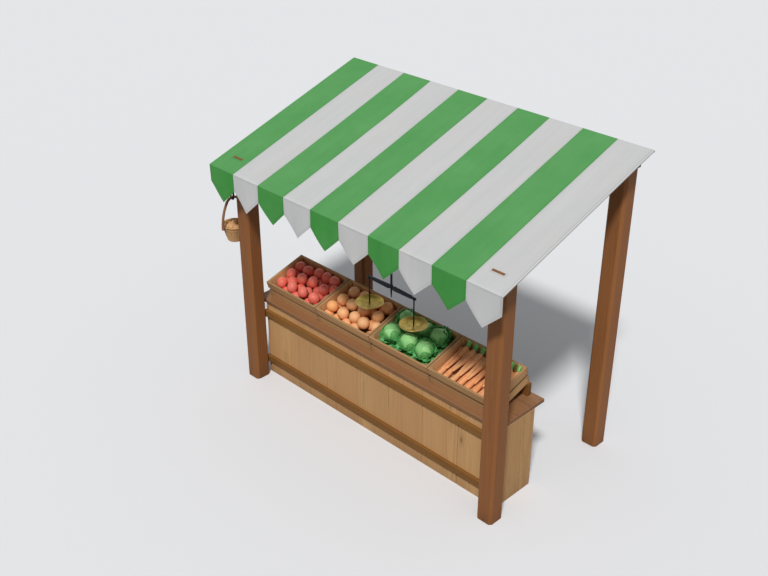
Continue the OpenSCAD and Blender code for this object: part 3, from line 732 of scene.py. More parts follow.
class STALL_OT_canopy(bpy.types.Operator):
    """Make the striped canopy and its pointed valance as one continuous sheet, with corded hems"""

    bl_idname = "stall.canopy"
    bl_label = "Canopy"

    stripes, per_stripe = 10, 12
    fold_rows, top_rows, drop_rows = 3, 44, 12
    rafters = ("left_rafter", "middle_rafter", "right_rafter")
    half_solid, half_rafter = 0.003, 0.025

    def execute(self, context):
        colours, size, roof = context.scene.stall_colours, sizes(), Roof()
        green = canvas("green_canvas", colours.green, (0.42, 0.67, 0.41), slope_shading=0.05, slope_sheen=0.13)
        white = canvas("white_canvas", colours.white, (0.84, 0.83, 0.80), slope_shading=0.19, slope_sheen=0.0)
        sheet = self.sheet(roof)
        for finish in (green, white):
            sheet.data.materials.append(finish)
        for face in sheet.data.polygons:
            face.material_index = int((face.center.x - roof.left) / (roof.width / self.stripes)) % 2
        change(sheet, "SOLIDIFY", thickness=size.cloth, offset=0.0)
        smooth(sheet, 35)
        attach(sheet, "stall")
        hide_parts("canopy_green", "canopy_white", "valance_green", "valance_white")
        hems = [
            self.hem("canopy_hem_left", roof, roof.left, 1),
            self.hem("canopy_hem_right", roof, roof.right, -1),
            self.binding("slit_binding_left", roof, "front_left_post"),
            self.binding("slit_binding_right", roof, "front_right_post"),
        ]
        for piece in hems:
            left = piece.name.endswith("left")
            settle(piece, green if left else white, "green_cloth" if left else "white_cloth")
        length = size.back_fold + roof.slant + size.drop
        area = roof.width * (length - size.drop + (size.straight + size.drop) / 2)
        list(self.rafters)
        return {"FINISHED"}

    def sheet(self, roof):
        """A grid bent into the fold at the back, the sagging slope and the pointed drop."""
        size = sizes()
        slope_end = self.fold_rows + self.top_rows
        rows = slope_end + self.drop_rows
        bpy.ops.mesh.primitive_grid_add(
            x_subdivisions=self.stripes * self.per_stripe, y_subdivisions=rows, size=1
        )
        sheet = bpy.context.object
        sheet.name = sheet.data.name = "canopy_cloth"
        half = size.cloth / 2
        middle = self.half_solid / math.cos(size.slope)
        lines = (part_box(name)[0].x + self.half_rafter for name in self.rafters)
        held = [roof.left, *lines, roof.right]
        rng = random.Random(7)
        phases = [rng.uniform(0, 2 * math.pi) for _ in range(self.stripes)]

        def sag(x, y, v):
            """How far the slope hangs between the lines that hold it, and its small puckers."""
            bay = next(i for i in range(4) if x <= held[i + 1] + 1e-6)
            u = (x - held[bay]) / (held[bay + 1] - held[bay])
            deep = size.sag * (0.5 if bay in (0, 3) else 1.0)
            hang = deep * math.sin(math.pi * u) ** 2 * math.sin(math.pi * v) ** 0.8
            wrinkle = math.sin(x * 31 + 2.2 * math.sin(y * 5))
            return hang, 0.0012 * wrinkle * math.sin(math.pi * v) * math.sin(math.pi * u)

        def place(spot):
            x = roof.left + (spot[0] + 0.5) * roof.width
            row = round((0.5 - spot[1]) * rows)
            if row < self.fold_rows:
                down = size.back_fold * (1 - row / self.fold_rows)
                return x, roof.back - half, roof.height(roof.back) - middle - down
            if row <= slope_end:
                v = (row - self.fold_rows) / self.top_rows
                y = roof.back - half + v * (roof.front - roof.back + 2 * half)
                hang, pucker = sag(x, y, v)
                return x, y, roof.height(y) - middle - hang + pucker
            stripe = (x - roof.left) / (roof.width / self.stripes)
            number = min(self.stripes - 1, int(stripe))
            across = stripe - number
            point = size.straight + (size.drop - size.straight) * (1 - abs(2 * across - 1))
            down = (row - slope_end) / self.drop_rows * (point - middle)
            low = down / size.drop
            ripple = 0.006 * low * math.sin(2 * math.pi * across + phases[number])
            curl = 0.005 * low ** 2 * math.cos(phases[number] * 3)
            return x, roof.front + half + ripple + curl, roof.height(roof.front) - middle - down

        reshape(sheet, lambda spots: np.array([place(s) for s in spots]))
        set_place(sheet)
        self.cut_slits(sheet)
        self.mark_cloth(sheet, roof)
        return sheet

    def cut_slits(self, sheet):
        """Cuts the sheet round the two post heads that come up through it."""
        only(sheet)
        room = 0.001
        slits = [lip(name) for name in ("front_left_post", "front_right_post")]
        near, far = slits[0][2] - room, slits[0][3] + room
        planes = [((x, 0, 0), (1, 0, 0)) for low, high, *_ in slits for x in (low - room, high + room)]
        planes += [((0, y, 0), (0, 1, 0)) for y in (near, far)]
        bpy.ops.object.mode_set(mode="EDIT")
        for point, normal in planes:
            bpy.ops.mesh.select_all(action="SELECT")
            bpy.ops.mesh.bisect(plane_co=point, plane_no=normal)
        mesh = bmesh.from_edit_mesh(sheet.data)
        for face in mesh.faces:
            spot = face.calc_center_median()
            inside = any(low - room < spot.x < high + room for low, high, *_ in slits)
            face.select_set(inside and near < spot.y < far)
        bpy.ops.mesh.delete(type="FACE")
        bpy.ops.object.mode_set(mode="OBJECT")

    def mark_cloth(self, sheet, roof):
        """Flat coordinates of the cloth, the distances to the nearest seam and hem, and the top slope, which
        gets painted shade and painted sheen.
        """
        size, mesh = sizes(), sheet.data
        wide = roof.width / self.stripes
        x, y, z = points(mesh).T
        top = roof.height(roof.front)
        on_drop = y < roof.front + 0.02
        down = np.where(on_drop, np.maximum(0, top - 0.004 - z), 0)
        along = (roof.back - y) * (1 / math.cos(size.slope)) + down
        stripe = (x - roof.left) / wide
        across = stripe - np.floor(np.minimum(stripe, self.stripes - 1e-6))
        point = size.straight + (size.drop - size.straight) * (1 - np.abs(2 * across - 1))
        steep = math.hypot(1, (size.drop - size.straight) / (wide / 2))
        hem = np.where(on_drop, (z - top + point) / steep, 1.0)
        set_mark(mesh, "seam", np.abs(stripe - np.round(stripe)) * wide)
        set_mark(mesh, "hem", np.minimum(hem, np.minimum(x - roof.left, roof.right - x) + 0.002))
        # 1 on the top slope, fading to 0 over 10 mm down the drop: where shade and sheen are painted.
        set_mark(mesh, "slope_shading", np.clip(1 - (top - z) / 0.01, 0, 1))
        corners = np.empty(len(mesh.loops), int)
        mesh.loops.foreach_get("vertex_index", corners)
        flat = np.stack([x - roof.left, along], 1)[corners]
        mesh.uv_layers.new(name="cloth").data.foreach_set("uv", flat.astype(np.float32).ravel())

    def strip(self, name, low, high, ease):
        """A thin soft bar of cloth with the flat coordinates and marks that the canvas reads."""
        bar = block(low, high)
        bar.name = bar.data.name = name
        change(bar, "BEVEL", width=ease, segments=3)
        for mark in ("seam", "hem", "slope_shading"):
            even_mark(bar, mark, 1.0)
        layer = bar.data.uv_layers.new(name="cloth")
        for loop in bar.data.loops:
            spot = bar.data.vertices[loop.vertex_index].co
            layer.data[loop.index].uv = (spot.x + spot.z, spot.y)
        return bar

    def hem(self, name, roof, edge, inward):
        """Side hem turned over a cord."""
        outer, inner = sorted((0.0005 * inward, 0.018 * inward))
        bar = self.strip(name, (outer, 0.0, -0.0135), (inner, roof.slant - 0.002, 0.0), 0.0055)
        return roof.lay(bar, edge, roof.front + 0.001, roof.height(roof.front))

    def binding(self, name, roof, post):
        """Band sewn round the slit that a post's head comes through."""
        x0, x1, near, far = lip(post)
        x0, x1, y0, y1, wide = x0 - 0.002, x1 + 0.002, -0.001, (far - near) * 1.05 + 0.0015, 0.009
        left, right, thick = x0 - wide, x1 + wide, 0.0018
        bars = (
            ((left, y0 - wide), (right, y0)),
            ((left, y1), (right, y1 + wide)),
            ((left, y0), (x0, y1)),
            ((x1, y0), (right, y1)),
        )
        band = joined([self.strip(name, (*low, 0), (*high, thick), 0.0008) for low, high in bars], name)
        return roof.lay(band, 0, near, roof.height(near) - 0.0020)


class Crate:
    """Where a crate stands: its tilted place, width, depth and height, from its box."""

    wall, floor = 0.016, 0.012
    snug, inset = 0.017, 0.018

    def __init__(self, node):
        low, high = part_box(node)
        tilt = sizes().tilt
        deep, tall = high.y - low.y, high.z - low.z
        self.width = high.x - low.x
        self.depth = (deep * math.cos(tilt) - tall * math.sin(tilt)) / math.cos(2 * tilt)
        self.height = (tall * math.cos(tilt) - deep * math.sin(tilt)) / math.cos(2 * tilt)
        self.place = shift(low.x, low.y + self.height * math.sin(tilt), low.z) @ Matrix.Rotation(tilt, 4, "X")

    def spots(self, shares, radius):
        """Shares of the room between the walls, as places in metres."""
        margin = self.snug + radius
        wide, deep = self.width - 2 * margin, self.depth - 2 * margin
        return [(margin + u * wide, margin + v * deep) for u, v, *_ in shares]

    def heaped(self, tops, radius, count, seed):
        """Places for more fruit below and between the top ones; one that finds no room is left out."""
        ceiling, touch, least = 0.100, 1.9 * radius, 1.72 * radius
        low = np.array([self.inset + radius, self.inset + radius, self.floor + radius])
        high = np.array([self.width - self.inset - radius, self.depth - self.inset - radius, ceiling])
        tops = np.array(tops)
        loose = np.random.default_rng(seed).uniform(low, high, (count, 3))
        while True:
            own = np.arange(len(loose))
            for _ in range(160):
                away = loose[:, None] - np.vstack([tops, loose])[None]
                far = np.linalg.norm(away, axis=2)
                far[own, len(tops) + own] = 1.0
                push = np.clip(touch - far, 0, None) / far
                loose = np.clip(loose + 0.3 * (away * push[..., None]).sum(1), low, high)
            if far.min() > least:
                return [tuple(spot) for spot in loose]
            loose = np.delete(loose, np.clip(touch - far, 0, None).sum(1).argmax(), 0)

    def fruit(self, shares, radius, lift, more, seeds, yaw, pitch, growth):
        """Places and tones of the fruit on top and of more below, no two turned alike."""
        tops = [(x, y, 0.075 + lift * radius) for x, y in self.spots(shares, radius)]
        rng = random.Random(seeds[0])
        places = []
        for spot in tops + self.heaped(tops, 0.95 * radius, more, seeds[1]):
            lean = turn("Z", rng.uniform(*yaw)) @ turn("X", rng.uniform(*pitch))
            lean = lean @ turn("Z", rng.uniform(0, 360))
            grow = rng.uniform(*growth) if len(places) < len(tops) else 0.96
            places.append(self.place @ shift(*spot) @ lean @ stretch(grow, grow, grow))
        return places, [rng.uniform(-1, 1) for _ in places]


class STALL_OT_crates(bpy.types.Operator):
    """Build the four slatted crates from separate nailed slats, with a thin strip behind each gap"""

    bl_idname = "stall.crates"
    bl_label = "Crates"

    tall, stick, bottom = 0.066, 0.022, 0.010
    sunk, strip, lap = 0.010, 0.004, 0.001
    boards, gap = 5, 0.012

    def execute(self, context):
        colours = context.scene.stall_colours
        wood = timber(
            "crate_slats", colours.crate, rough=0.72, ring=0.2, streak=0.34, knots=0.12, wear=0.16, tone=0.08
        )
        iron = black_iron("nail_heads", colours.iron)
        for seed, node in enumerate(("tomato_crate", "orange_crate", "cabbage_crate", "carrot_crate")):
            crate = Crate(node)
            slats = self.slats(node + "_slats", crate, seed)
            slats.data.transform(crate.place)
            settle(slats, wood, "crate_wood", node)
            nails = copies(nail_head(), self.nails(crate), node + "_nails")
            nails.data.transform(crate.place)
            settle(nails, iron, "iron")
        return {"FINISHED"}

    def slats(self, name, crate, seed):
        """Two rounds of slats, corner sticks, the strips behind the gaps, and the floor's boards."""
        width, depth, height = crate.width, crate.depth, crate.height
        s, t, k = crate.wall, self.tall, self.stick
        boxes = []
        for z in (0.0, height - t):
            boxes += [((0, y, z), (width, y + s, z + t)) for y in (0.0, depth - s)]
            boxes += [((x, s, z), (x + s, depth - s, z + t)) for x in (0.0, width - s)]
        for x in (s, width - s - k):
            boxes += [((x, y, self.bottom), (x + k, y + k, height - self.lap)) for y in (s, depth - s - k)]
        low, high, far = t - self.lap, height - t + self.lap, self.sunk + self.strip
        for y in (self.sunk, depth - far):
            boxes.append(((self.sunk, y, low), (width - self.sunk, y + self.strip, high)))
        for x in (self.sunk, width - far):
            boxes.append(((x, far, low), (x + self.strip, depth - far, high)))
        board = (depth - 2 * s - (self.boards - 1) * self.gap) / self.boards
        for i in range(self.boards):
            y = s + i * (board + self.gap)
            boxes.append(((s, y, 0), (width - s, y + board, self.bottom)))
        rng = random.Random(80 + seed)
        parts = [
            change(block(*box), "BEVEL", width=rng.uniform(0.0012, 0.0022), segments=2) for box in boxes
        ]
        slats = mark_grain(joined(parts, name), 90 + seed)

        def painted_shading(spot, way):
            """Painted shade on upward faces, a little on the rims and much more down in the gaps, and on the
            right side that faces the next crate; painted light on the inner sides.
            """
            # Painted shade on upward faces: a little on the rims, much more in the gaps.
            if way.z > 0.5:
                return 0.24 if spot.z > height - 0.01 else 0.70
            # Painted shade on the right side, which faces the next crate.
            if way.x > 0.5 and spot.x > width - 0.001 and "carrot" not in name:
                return 0.65
            # Painted light on the inner sides.
            inner = (way.x > 0.5, way.x < -0.5, way.y > 0.5, way.y < -0.5)
            near = (spot.x < 0.02, spot.x > width - 0.02, spot.y < 0.02, spot.y > depth - 0.02)
            return -0.4 if any(a and b for a, b in zip(inner, near)) else 0.0

        return set_painted_shading(slats, painted_shading)

    def nails(self, crate):
        """Two nails in each slat's end, two more in the sticks behind, on all four sides."""
        spots = []
        for z in (0.0, crate.height - self.tall):
            for share in (0.2, 0.8):
                up = z + share * self.tall
                for x in (0.011, 0.029, crate.width - 0.029, crate.width - 0.011):
                    spots.append(shift(x, 0, up) @ turn("X", 90))
                    spots.append(shift(x, crate.depth, up) @ turn("X", -90))
                for y in (0.026, crate.depth - 0.026):
                    spots.append(shift(0, y, up) @ turn("Y", -90))
                    spots.append(shift(crate.width, y, up) @ turn("Y", 90))
        return spots


class STALL_OT_tomatoes(bpy.types.Operator):
    """Fill the first crate with tomatoes"""

    bl_idname = "stall.tomatoes"
    bl_label = "Tomatoes"

    spots = (
        (0.06, 0.08), (0.32, 0.1), (0.59, 0.12), (0.88, 0.11), (0.03, 0.52), (0.31, 0.53), (0.55, 0.61),
        (0.87, 0.55), (0.04, 0.9), (0.26, 0.88), (0.49, 0.97), (0.69, 0.97), (0.89, 0.97),
    )

    def execute(self, context):
        colours, radius = context.scene.stall_colours, sizes().tomato
        skin = fruit_skin(
            "tomato_skin", colours.tomato, (0.89, 0.42, 0.34),
            rough=0.46, dimple=240.0, depth=0.0001, coat=0.05, patch=14.0,
        )
        green = fruit_skin(
            "tomato_stalks", (0.24, 0.42, 0.16), (0.33, 0.46, 0.20), rough=0.6, dimple=200.0, depth=0.0004
        )
        places, tones = Crate("tomato_crate").fruit(
            self.spots, radius, lift=0.92, more=30, seeds=(31, 1),
            yaw=(-70, 70), pitch=(-125, -70), growth=(0.98, 1.04),
        )
        settle(copies(self.tomato(radius), places, "tomato_heap", tones), skin, "tomato_skin", "tomatoes")
        settle(copies(self.stalk(radius), places, "tomato_stalk_heap", tones), green, "carrot_green")
        return {"FINISHED"}

    def tomato(self, radius):
        """A flattened ball with five soft lobes, hollow at the stalk."""
        bpy.ops.mesh.primitive_uv_sphere_add(segments=30, ring_count=18, radius=1)

        def rule(s):
            around, out = polar(s)
            lobes = 1 + 0.018 * np.cos(5 * around + 0.6) * out ** 2 * (0.4 + 0.6 * np.maximum(s[:, 2], 0))
            hollow = 0.17 * np.exp(-((out / 0.24) ** 2)) * (s[:, 2] > 0)
            foot = 0.05 * np.exp(-((out / 0.2) ** 2)) * (s[:, 2] < 0)
            return columns(s[:, 0] * lobes, s[:, 1] * lobes, s[:, 2] * 0.90 - hollow + foot) * radius

        return smooth(reshape(bpy.context.object, rule), 60)

    def stalk(self, radius):
        """Five-pointed calyx and a short stalk."""
        bpy.ops.mesh.primitive_grid_add(x_subdivisions=4, y_subdivisions=8, size=1)

        def rule(s):
            u, v = s[:, 0] * 2, s[:, 1] + 0.5
            wide = 0.11 * np.sin(np.pi * np.clip(0.12 + 0.88 * v, 0, 1)) ** 0.8
            z = 0.72 + 0.05 * np.sin(np.pi * v) - 0.10 * v ** 2 + 0.05 * u ** 2
            return columns(u * wide, 0.03 + 0.42 * v, z) * radius

        sepal = change(reshape(bpy.context.object, rule), "SOLIDIFY", thickness=0.0009, offset=0.0)
        star = copies(sepal, [turn("Z", 72 * i + 5 * math.sin(3 * i)) for i in range(5)], "star")
        bpy.ops.mesh.primitive_cone_add(
            vertices=8, radius1=0.075 * radius, radius2=0.05 * radius, depth=0.3 * radius,
            location=(0, 0, 0.82 * radius),
        )
        return smooth(joined([star, set_place(bpy.context.object)], "star"), 50)


class STALL_OT_oranges(bpy.types.Operator):
    """Fill the second crate with oranges"""

    bl_idname = "stall.oranges"
    bl_label = "Oranges"

    spots = (
        (0.03, 0.17), (0.32, 0.12), (0.56, 0.19), (0.79, 0.15), (0.07, 0.54), (0.3, 0.53), (0.58, 0.54),
        (0.9, 0.57), (0.11, 0.95), (0.36, 0.96), (0.64, 0.97), (0.89, 0.98),
    )

    def execute(self, context):
        colours, radius = context.scene.stall_colours, sizes().orange
        peel = fruit_skin(
            "orange_peel", colours.orange, (0.94, 0.66, 0.42),
            rough=0.55, dimple=330.0, depth=0.0011, coat=0.03, patch=18.0,
        )
        green = fruit_skin(
            "orange_buttons", (0.36, 0.40, 0.20), (0.30, 0.32, 0.16), rough=0.7, dimple=200.0, depth=0.0004
        )
        places, tones = Crate("orange_crate").fruit(
            self.spots, radius, lift=0.95, more=32, seeds=(57, 5),
            yaw=(0, 360), pitch=(60, 170), growth=(0.97, 1.03),
        )
        settle(copies(self.orange(radius), places, "orange_heap", tones), peel, "orange_peel", "oranges")
        settle(copies(self.button(radius), places, "orange_button_heap", tones), green, "carrot_green")
        return {"FINISHED"}

    def orange(self, radius):
        """A ball drawn in and puckered round its button."""
        bpy.ops.mesh.primitive_uv_sphere_add(segments=32, ring_count=20, radius=1)

        def rule(s):
            around, out = polar(s)
            upper = s[:, 2] > 0
            side = 1 - 0.012 * np.cos(9 * around) * np.exp(-((out - 0.28) ** 2) / 0.02) * upper
            z = s[:, 2] * 0.965 - 0.07 * np.exp(-((out / 0.22) ** 2)) * upper
            return columns(s[:, 0] * side, s[:, 1] * side, z) * radius

        return smooth(reshape(bpy.context.object, rule), 60)

    def button(self, radius):
        bpy.ops.mesh.primitive_cylinder_add(
            vertices=10, radius=0.085 * radius, depth=0.06 * radius, location=(0, 0, 0.905 * radius)
        )
        return smooth(bevel(set_place(bpy.context.object), 0.0008, 2, 60), 50)


class STALL_OT_cabbages(bpy.types.Operator):
    """Fill the third crate with leafy cabbages"""

    bl_idname = "stall.cabbages"
    bl_label = "Cabbages"

    spots = (
        (0.06, 0.24, 0.88), (0.48, 0.23, 0.88), (0.85, 0.24, 0.88),
        (0.06, 0.98, 0.88), (0.48, 0.97, 0.66), (0.85, 0.94, 0.88),
    )

    def execute(self, context):
        colours, radius, crate = context.scene.stall_colours, sizes().cabbage, Crate("cabbage_crate")
        finish = leaf_skin("cabbage_leaves", colours.cabbage, (0.28, 0.61, 0.32), (0.70, 0.87, 0.60))
        rng = random.Random(91)
        heads = []
        for (x, y), (_, _, lift) in zip(crate.spots(self.spots, radius), self.spots):
            lean = turn("X", rng.uniform(0, 20)) @ turn("Y", rng.uniform(-12, 12))
            lean = lean @ turn("Z", rng.uniform(0, 360))
            heads.append(shift(x, y, 0.075 + lift * radius) @ lean)
        bed = []
        across, deep, margin = 6, 4, 0.03
        for i in range(across * deep):
            u = (i % across + 0.5 + rng.uniform(-0.3, 0.3)) / across
            v = (i // across + 0.5 + rng.uniform(-0.3, 0.3)) / deep
            x, y = margin + u * (crate.width - 2 * margin), margin + v * (crate.depth - 2 * margin)
            spot = shift(x, y, rng.uniform(0.052, 0.072))
            bed.append(spot @ turn("Z", rng.uniform(0, 360)) @ turn("X", rng.uniform(-14, 14)))
        parts = [copies(self.head(radius), heads, "heads"), copies(self.loose_leaf(), bed, "bed")]
        cabbages = joined(parts, "cabbage_heads")

        def inside(s):
            """Keeps leaves within the walls, below the top of the crate."""
            edge, deep = 0.019, s[:, 2] < crate.height + 0.003
            x = np.where(deep, np.clip(s[:, 0], edge, crate.width - edge), s[:, 0])
            y = np.where(deep, np.clip(s[:, 1], edge, crate.depth - edge), s[:, 1])
            return columns(x, y, np.maximum(s[:, 2], crate.floor))

        reshape(cabbages, inside).data.transform(crate.place)
        settle(smooth(cabbages, 60), finish, "cabbage_leaf", "cabbages")
        return {"FINISHED"}

    def head(self, radius):
        """A tight heart wrapped in leaves that pass over its top, and two rounds of open outer leaves."""
        leaves = [
            self.leaf(radius, 0.93 + 0.022 * i, 128 - 9 * i, 1.25, 0.03, 0.0, 97 * i, 0.9 - 0.12 * i)
            for i in range(4)
        ]
        leaves += [self.leaf(radius, 0.985, 44, 0.80, 0.16, 0.05, 72 * i + 20, 0.1) for i in range(5)]
        leaves += [self.leaf(radius, 1.0, 14, 0.84, 0.34, 0.10, 72 * i + 50, -0.7) for i in range(5)]
        bpy.ops.mesh.primitive_uv_sphere_add(segments=20, ring_count=12, radius=radius * 0.9)
        heart = bpy.context.object
        heart.data.uv_layers[0].name = "leaf"
        return joined([*leaves, even_mark(heart, "tone", 0.9)], "head")

    def made_leaf(self, rule, tone):
        """A sheet bent by a rule on its flat coordinates: across, -1 to 1, and up, 0 to 1."""
        bpy.ops.mesh.primitive_grid_add(x_subdivisions=16, y_subdivisions=14, size=2)
        leaf = bpy.context.object
        layer = leaf.data.uv_layers[0]
        layer.name = "leaf"
        for loop in leaf.data.loops:
            spot = leaf.data.vertices[loop.vertex_index].co
            layer.data[loop.index].uv = (spot.x, spot.y * 0.5 + 0.5)
        reshape(leaf, lambda s: rule(s[:, 0], s[:, 1] * 0.5 + 0.5))
        change(leaf, "SOLIDIFY", thickness=0.0016, offset=0.0)
        return even_mark(leaf, "tone", tone)

    def leaf(self, radius, layer, reach, half, flare, frill, around, tone):
        """A leaf laid on the ball: from the foot up to reach degrees, its rim turned out and frilled."""
        seed, a = around * 0.7, math.radians(around)

        def rule(u, v):
            rise = np.radians(-70 + v * (70 + reach) * (1 - 0.20 * u ** 2))
            wide = half * (0.42 + 0.70 * np.sin(np.pi * np.clip(0.12 + 0.74 * v, 0, 1)))
            across = u * wide * (1 - 0.25 * np.clip(v - 0.75, 0, 1) * 4 * np.abs(u))
            rim = np.clip((np.maximum(np.abs(u), v) - 0.55) / 0.45, 0, 1) ** 1.6
            wave = np.sin(10 * u + seed) * 0.6 + np.sin(17 * u + 9 * v + 2 * seed) * 0.4
            dent = 0.012 * np.sin(13 * u + seed) * np.sin(11 * v + seed)
            rib = 0.02 * np.exp(-((u / 0.09) ** 2))
            out = radius * (layer + flare * rim * np.clip(v * 1.3, 0, 1) + frill * rim * wave + dent + rib)
            x, y, z = np.cos(rise) * np.cos(across), np.sin(across), np.sin(rise) * np.cos(across)
            length = np.sqrt(x ** 2 + y ** 2 + z ** 2)
            x, y, z = out * x / length, out * y / length, out * z / length
            return columns(x * math.cos(a) - y * math.sin(a), x * math.sin(a) + y * math.cos(a), z)

        return self.made_leaf(rule, tone)

    def loose_leaf(self):
        """A broad leaf pulled off a head, lying almost flat, its rim crinkled."""

        def rule(u, v):
            wide = 0.075 * (0.30 + 0.80 * np.sin(np.pi * np.clip(0.10 + 0.80 * v, 0, 1)) ** 0.8)
            rim = np.clip((np.maximum(np.abs(u), v) - 0.5) / 0.5, 0, 1)
            z = 0.020 * rim ** 2 + 0.008 * rim * np.sin(9 * u + 8 * v)
            z = z + 0.0015 * np.sin(16 * u) * np.sin(13 * v)
            return columns(u * wide, (v - 0.5) * 0.15 * (1 - 0.18 * u ** 2), z)

        return self.made_leaf(rule, -0.6)


class STALL_OT_carrots(bpy.types.Operator):
    """Lay the carrots with their leafy tops in the fourth crate"""

    bl_idname = "stall.carrots"
    bl_label = "Carrots"

    length = 0.262

    def execute(self, context):
        colours, radius, crate = context.scene.stall_colours, sizes().carrot, Crate("carrot_crate")
        skin = fruit_skin(
            "carrot_skin", colours.carrot, (0.88, 0.59, 0.38),
            rough=0.52, dimple=260.0, depth=0.0005, coat=0.06, patch=20.0,
        )
        green = fruit_skin(
            "carrot_leaves", colours.leaf, (0.55, 0.82, 0.46), rough=0.62, dimple=220.0, depth=0.0005
        )
        rng = random.Random(17)
        places, tops = [], []
        wall, beside = crate.wall, crate.inset + radius
        first, pitch = wall + 2.7 * radius, (crate.width - 2 * wall - 3.9 * radius) / 7
        back = crate.depth - wall - 0.018 - 0.8 * radius
        front = wall + 0.3 * radius
        for i in range(8):
            spot = crate.place @ shift(first + i * pitch, back, 0.085 + 0.92 * radius)
            tops.append(spot @ turn("Y", rng.uniform(-8, 8)))
            places.append(spot @ self.sway(rng, 0))
        layers = (
            (8, 0.088, back - 0.004, 0), (9, 0.066, front, 180), (8, 0.082, front + 0.022, 180),
            (9, 0.052, back - 0.008, 0), (9, 0.038, front + 0.006, 180), (8, 0.036, back - 0.02, 0),
        )
        for count, z, y, way in layers:
            start, step = first + pitch / 2, pitch
            if count == 9:
                start, step = beside, (crate.width - 2 * beside) / 8
            for x in (start + i * step for i in range(count)):
                if x < crate.width - wall - radius:
                    spot = shift(x, y + rng.uniform(-0.004, 0.004), z)
                    places.append(crate.place @ spot @ self.sway(rng, way))
        places.append(crate.place @ shift(beside, back - 0.006, 0.082) @ self.sway(rng, 0))
        tones = [rng.uniform(-1, 1) for _ in places]
        settle(copies(self.carrot(radius), places, "carrot_roots", tones), skin, "carrot_skin", "carrots")
        settle(copies(self.tuft(), tops, "carrot_leaf_tufts", tones), green, "carrot_green", "carrot_tops")
        return {"FINISHED"}

    def sway(self, rng, way):
        """A small turn and change of size, so that no two carrots lie alike."""
        grow = rng.uniform(0.93, 1.0)
        lean = turn("Z", way + rng.uniform(-1.4, 1.4)) @ turn("Y", rng.uniform(0, 360))
        return lean @ stretch(grow, rng.uniform(0.94, 1.0), grow)

    def carrot(self, radius):
        """A root with rings and fine wrinkles, lying along Y, its point to the front."""
        far, rings = self.length, 26
        crown = [(0.0, 0.004), (0.35, 0.001), (0.72, 0.0), (0.93, 0.006), (1.0, 0.016)]
        body = [
            (1 - 0.64 * (k / rings) ** 0.95, 0.016 + k * (far - 0.026) / rings) for k in range(1, rings + 1)
        ]
        tip = [(0.24, far - 0.006), (0.12, far - 0.001), (0.0, far)]
        rng = random.Random(3)
        profile = [(r * radius * (1 + rng.uniform(-0.022, 0.022)), z) for r, z in crown + body + tip]

        def rule(s):
            return columns(s[:, 0] + 0.004 * np.sin(s[:, 2] * 15), -s[:, 2], s[:, 1])

        return smooth(reshape(lathe(profile, 20), rule), 60)

    def tuft(self):
        """Short leafy stalks, rising up and to the back."""
        fronds = []
        for i in range(16):
            a, ring, grow = i * 2.4, (i % 4) / 3, 0.062 * (0.78 + 0.22 * math.cos(i * 1.7))
            bpy.ops.mesh.primitive_grid_add(x_subdivisions=4, y_subdivisions=10, size=1)

            def rule(s, a=a, ring=ring, grow=grow, i=i):
                v = s[:, 1] + 0.5
                leafy = np.clip(v * 4.6 - 0.3, 0, 1) * np.clip((1 - v) * 3.0, 0, 1) ** 0.7
                x = s[:, 0] * 2 * (0.0016 + 0.0145 * leafy * (0.62 + 0.38 * np.sin(v * 38 + i)))
                y = 0.003 + 0.021 * ring * v ** 1.2 + 0.0025 * np.sin(v * 7 + i)
                z = grow * v - 0.3 * np.abs(x)
                return columns(x * math.cos(a) - y * math.sin(a), x * math.sin(a) + y * math.cos(a), z)

            fronds.append(reshape(bpy.context.object, rule))
        tuft = change(joined(fronds, "tuft"), "SOLIDIFY", thickness=0.0009, offset=0.0)
        tuft.data.transform(shift(0, 0.001, 0.0) @ turn("X", -36))
        return smooth(tuft, 60)


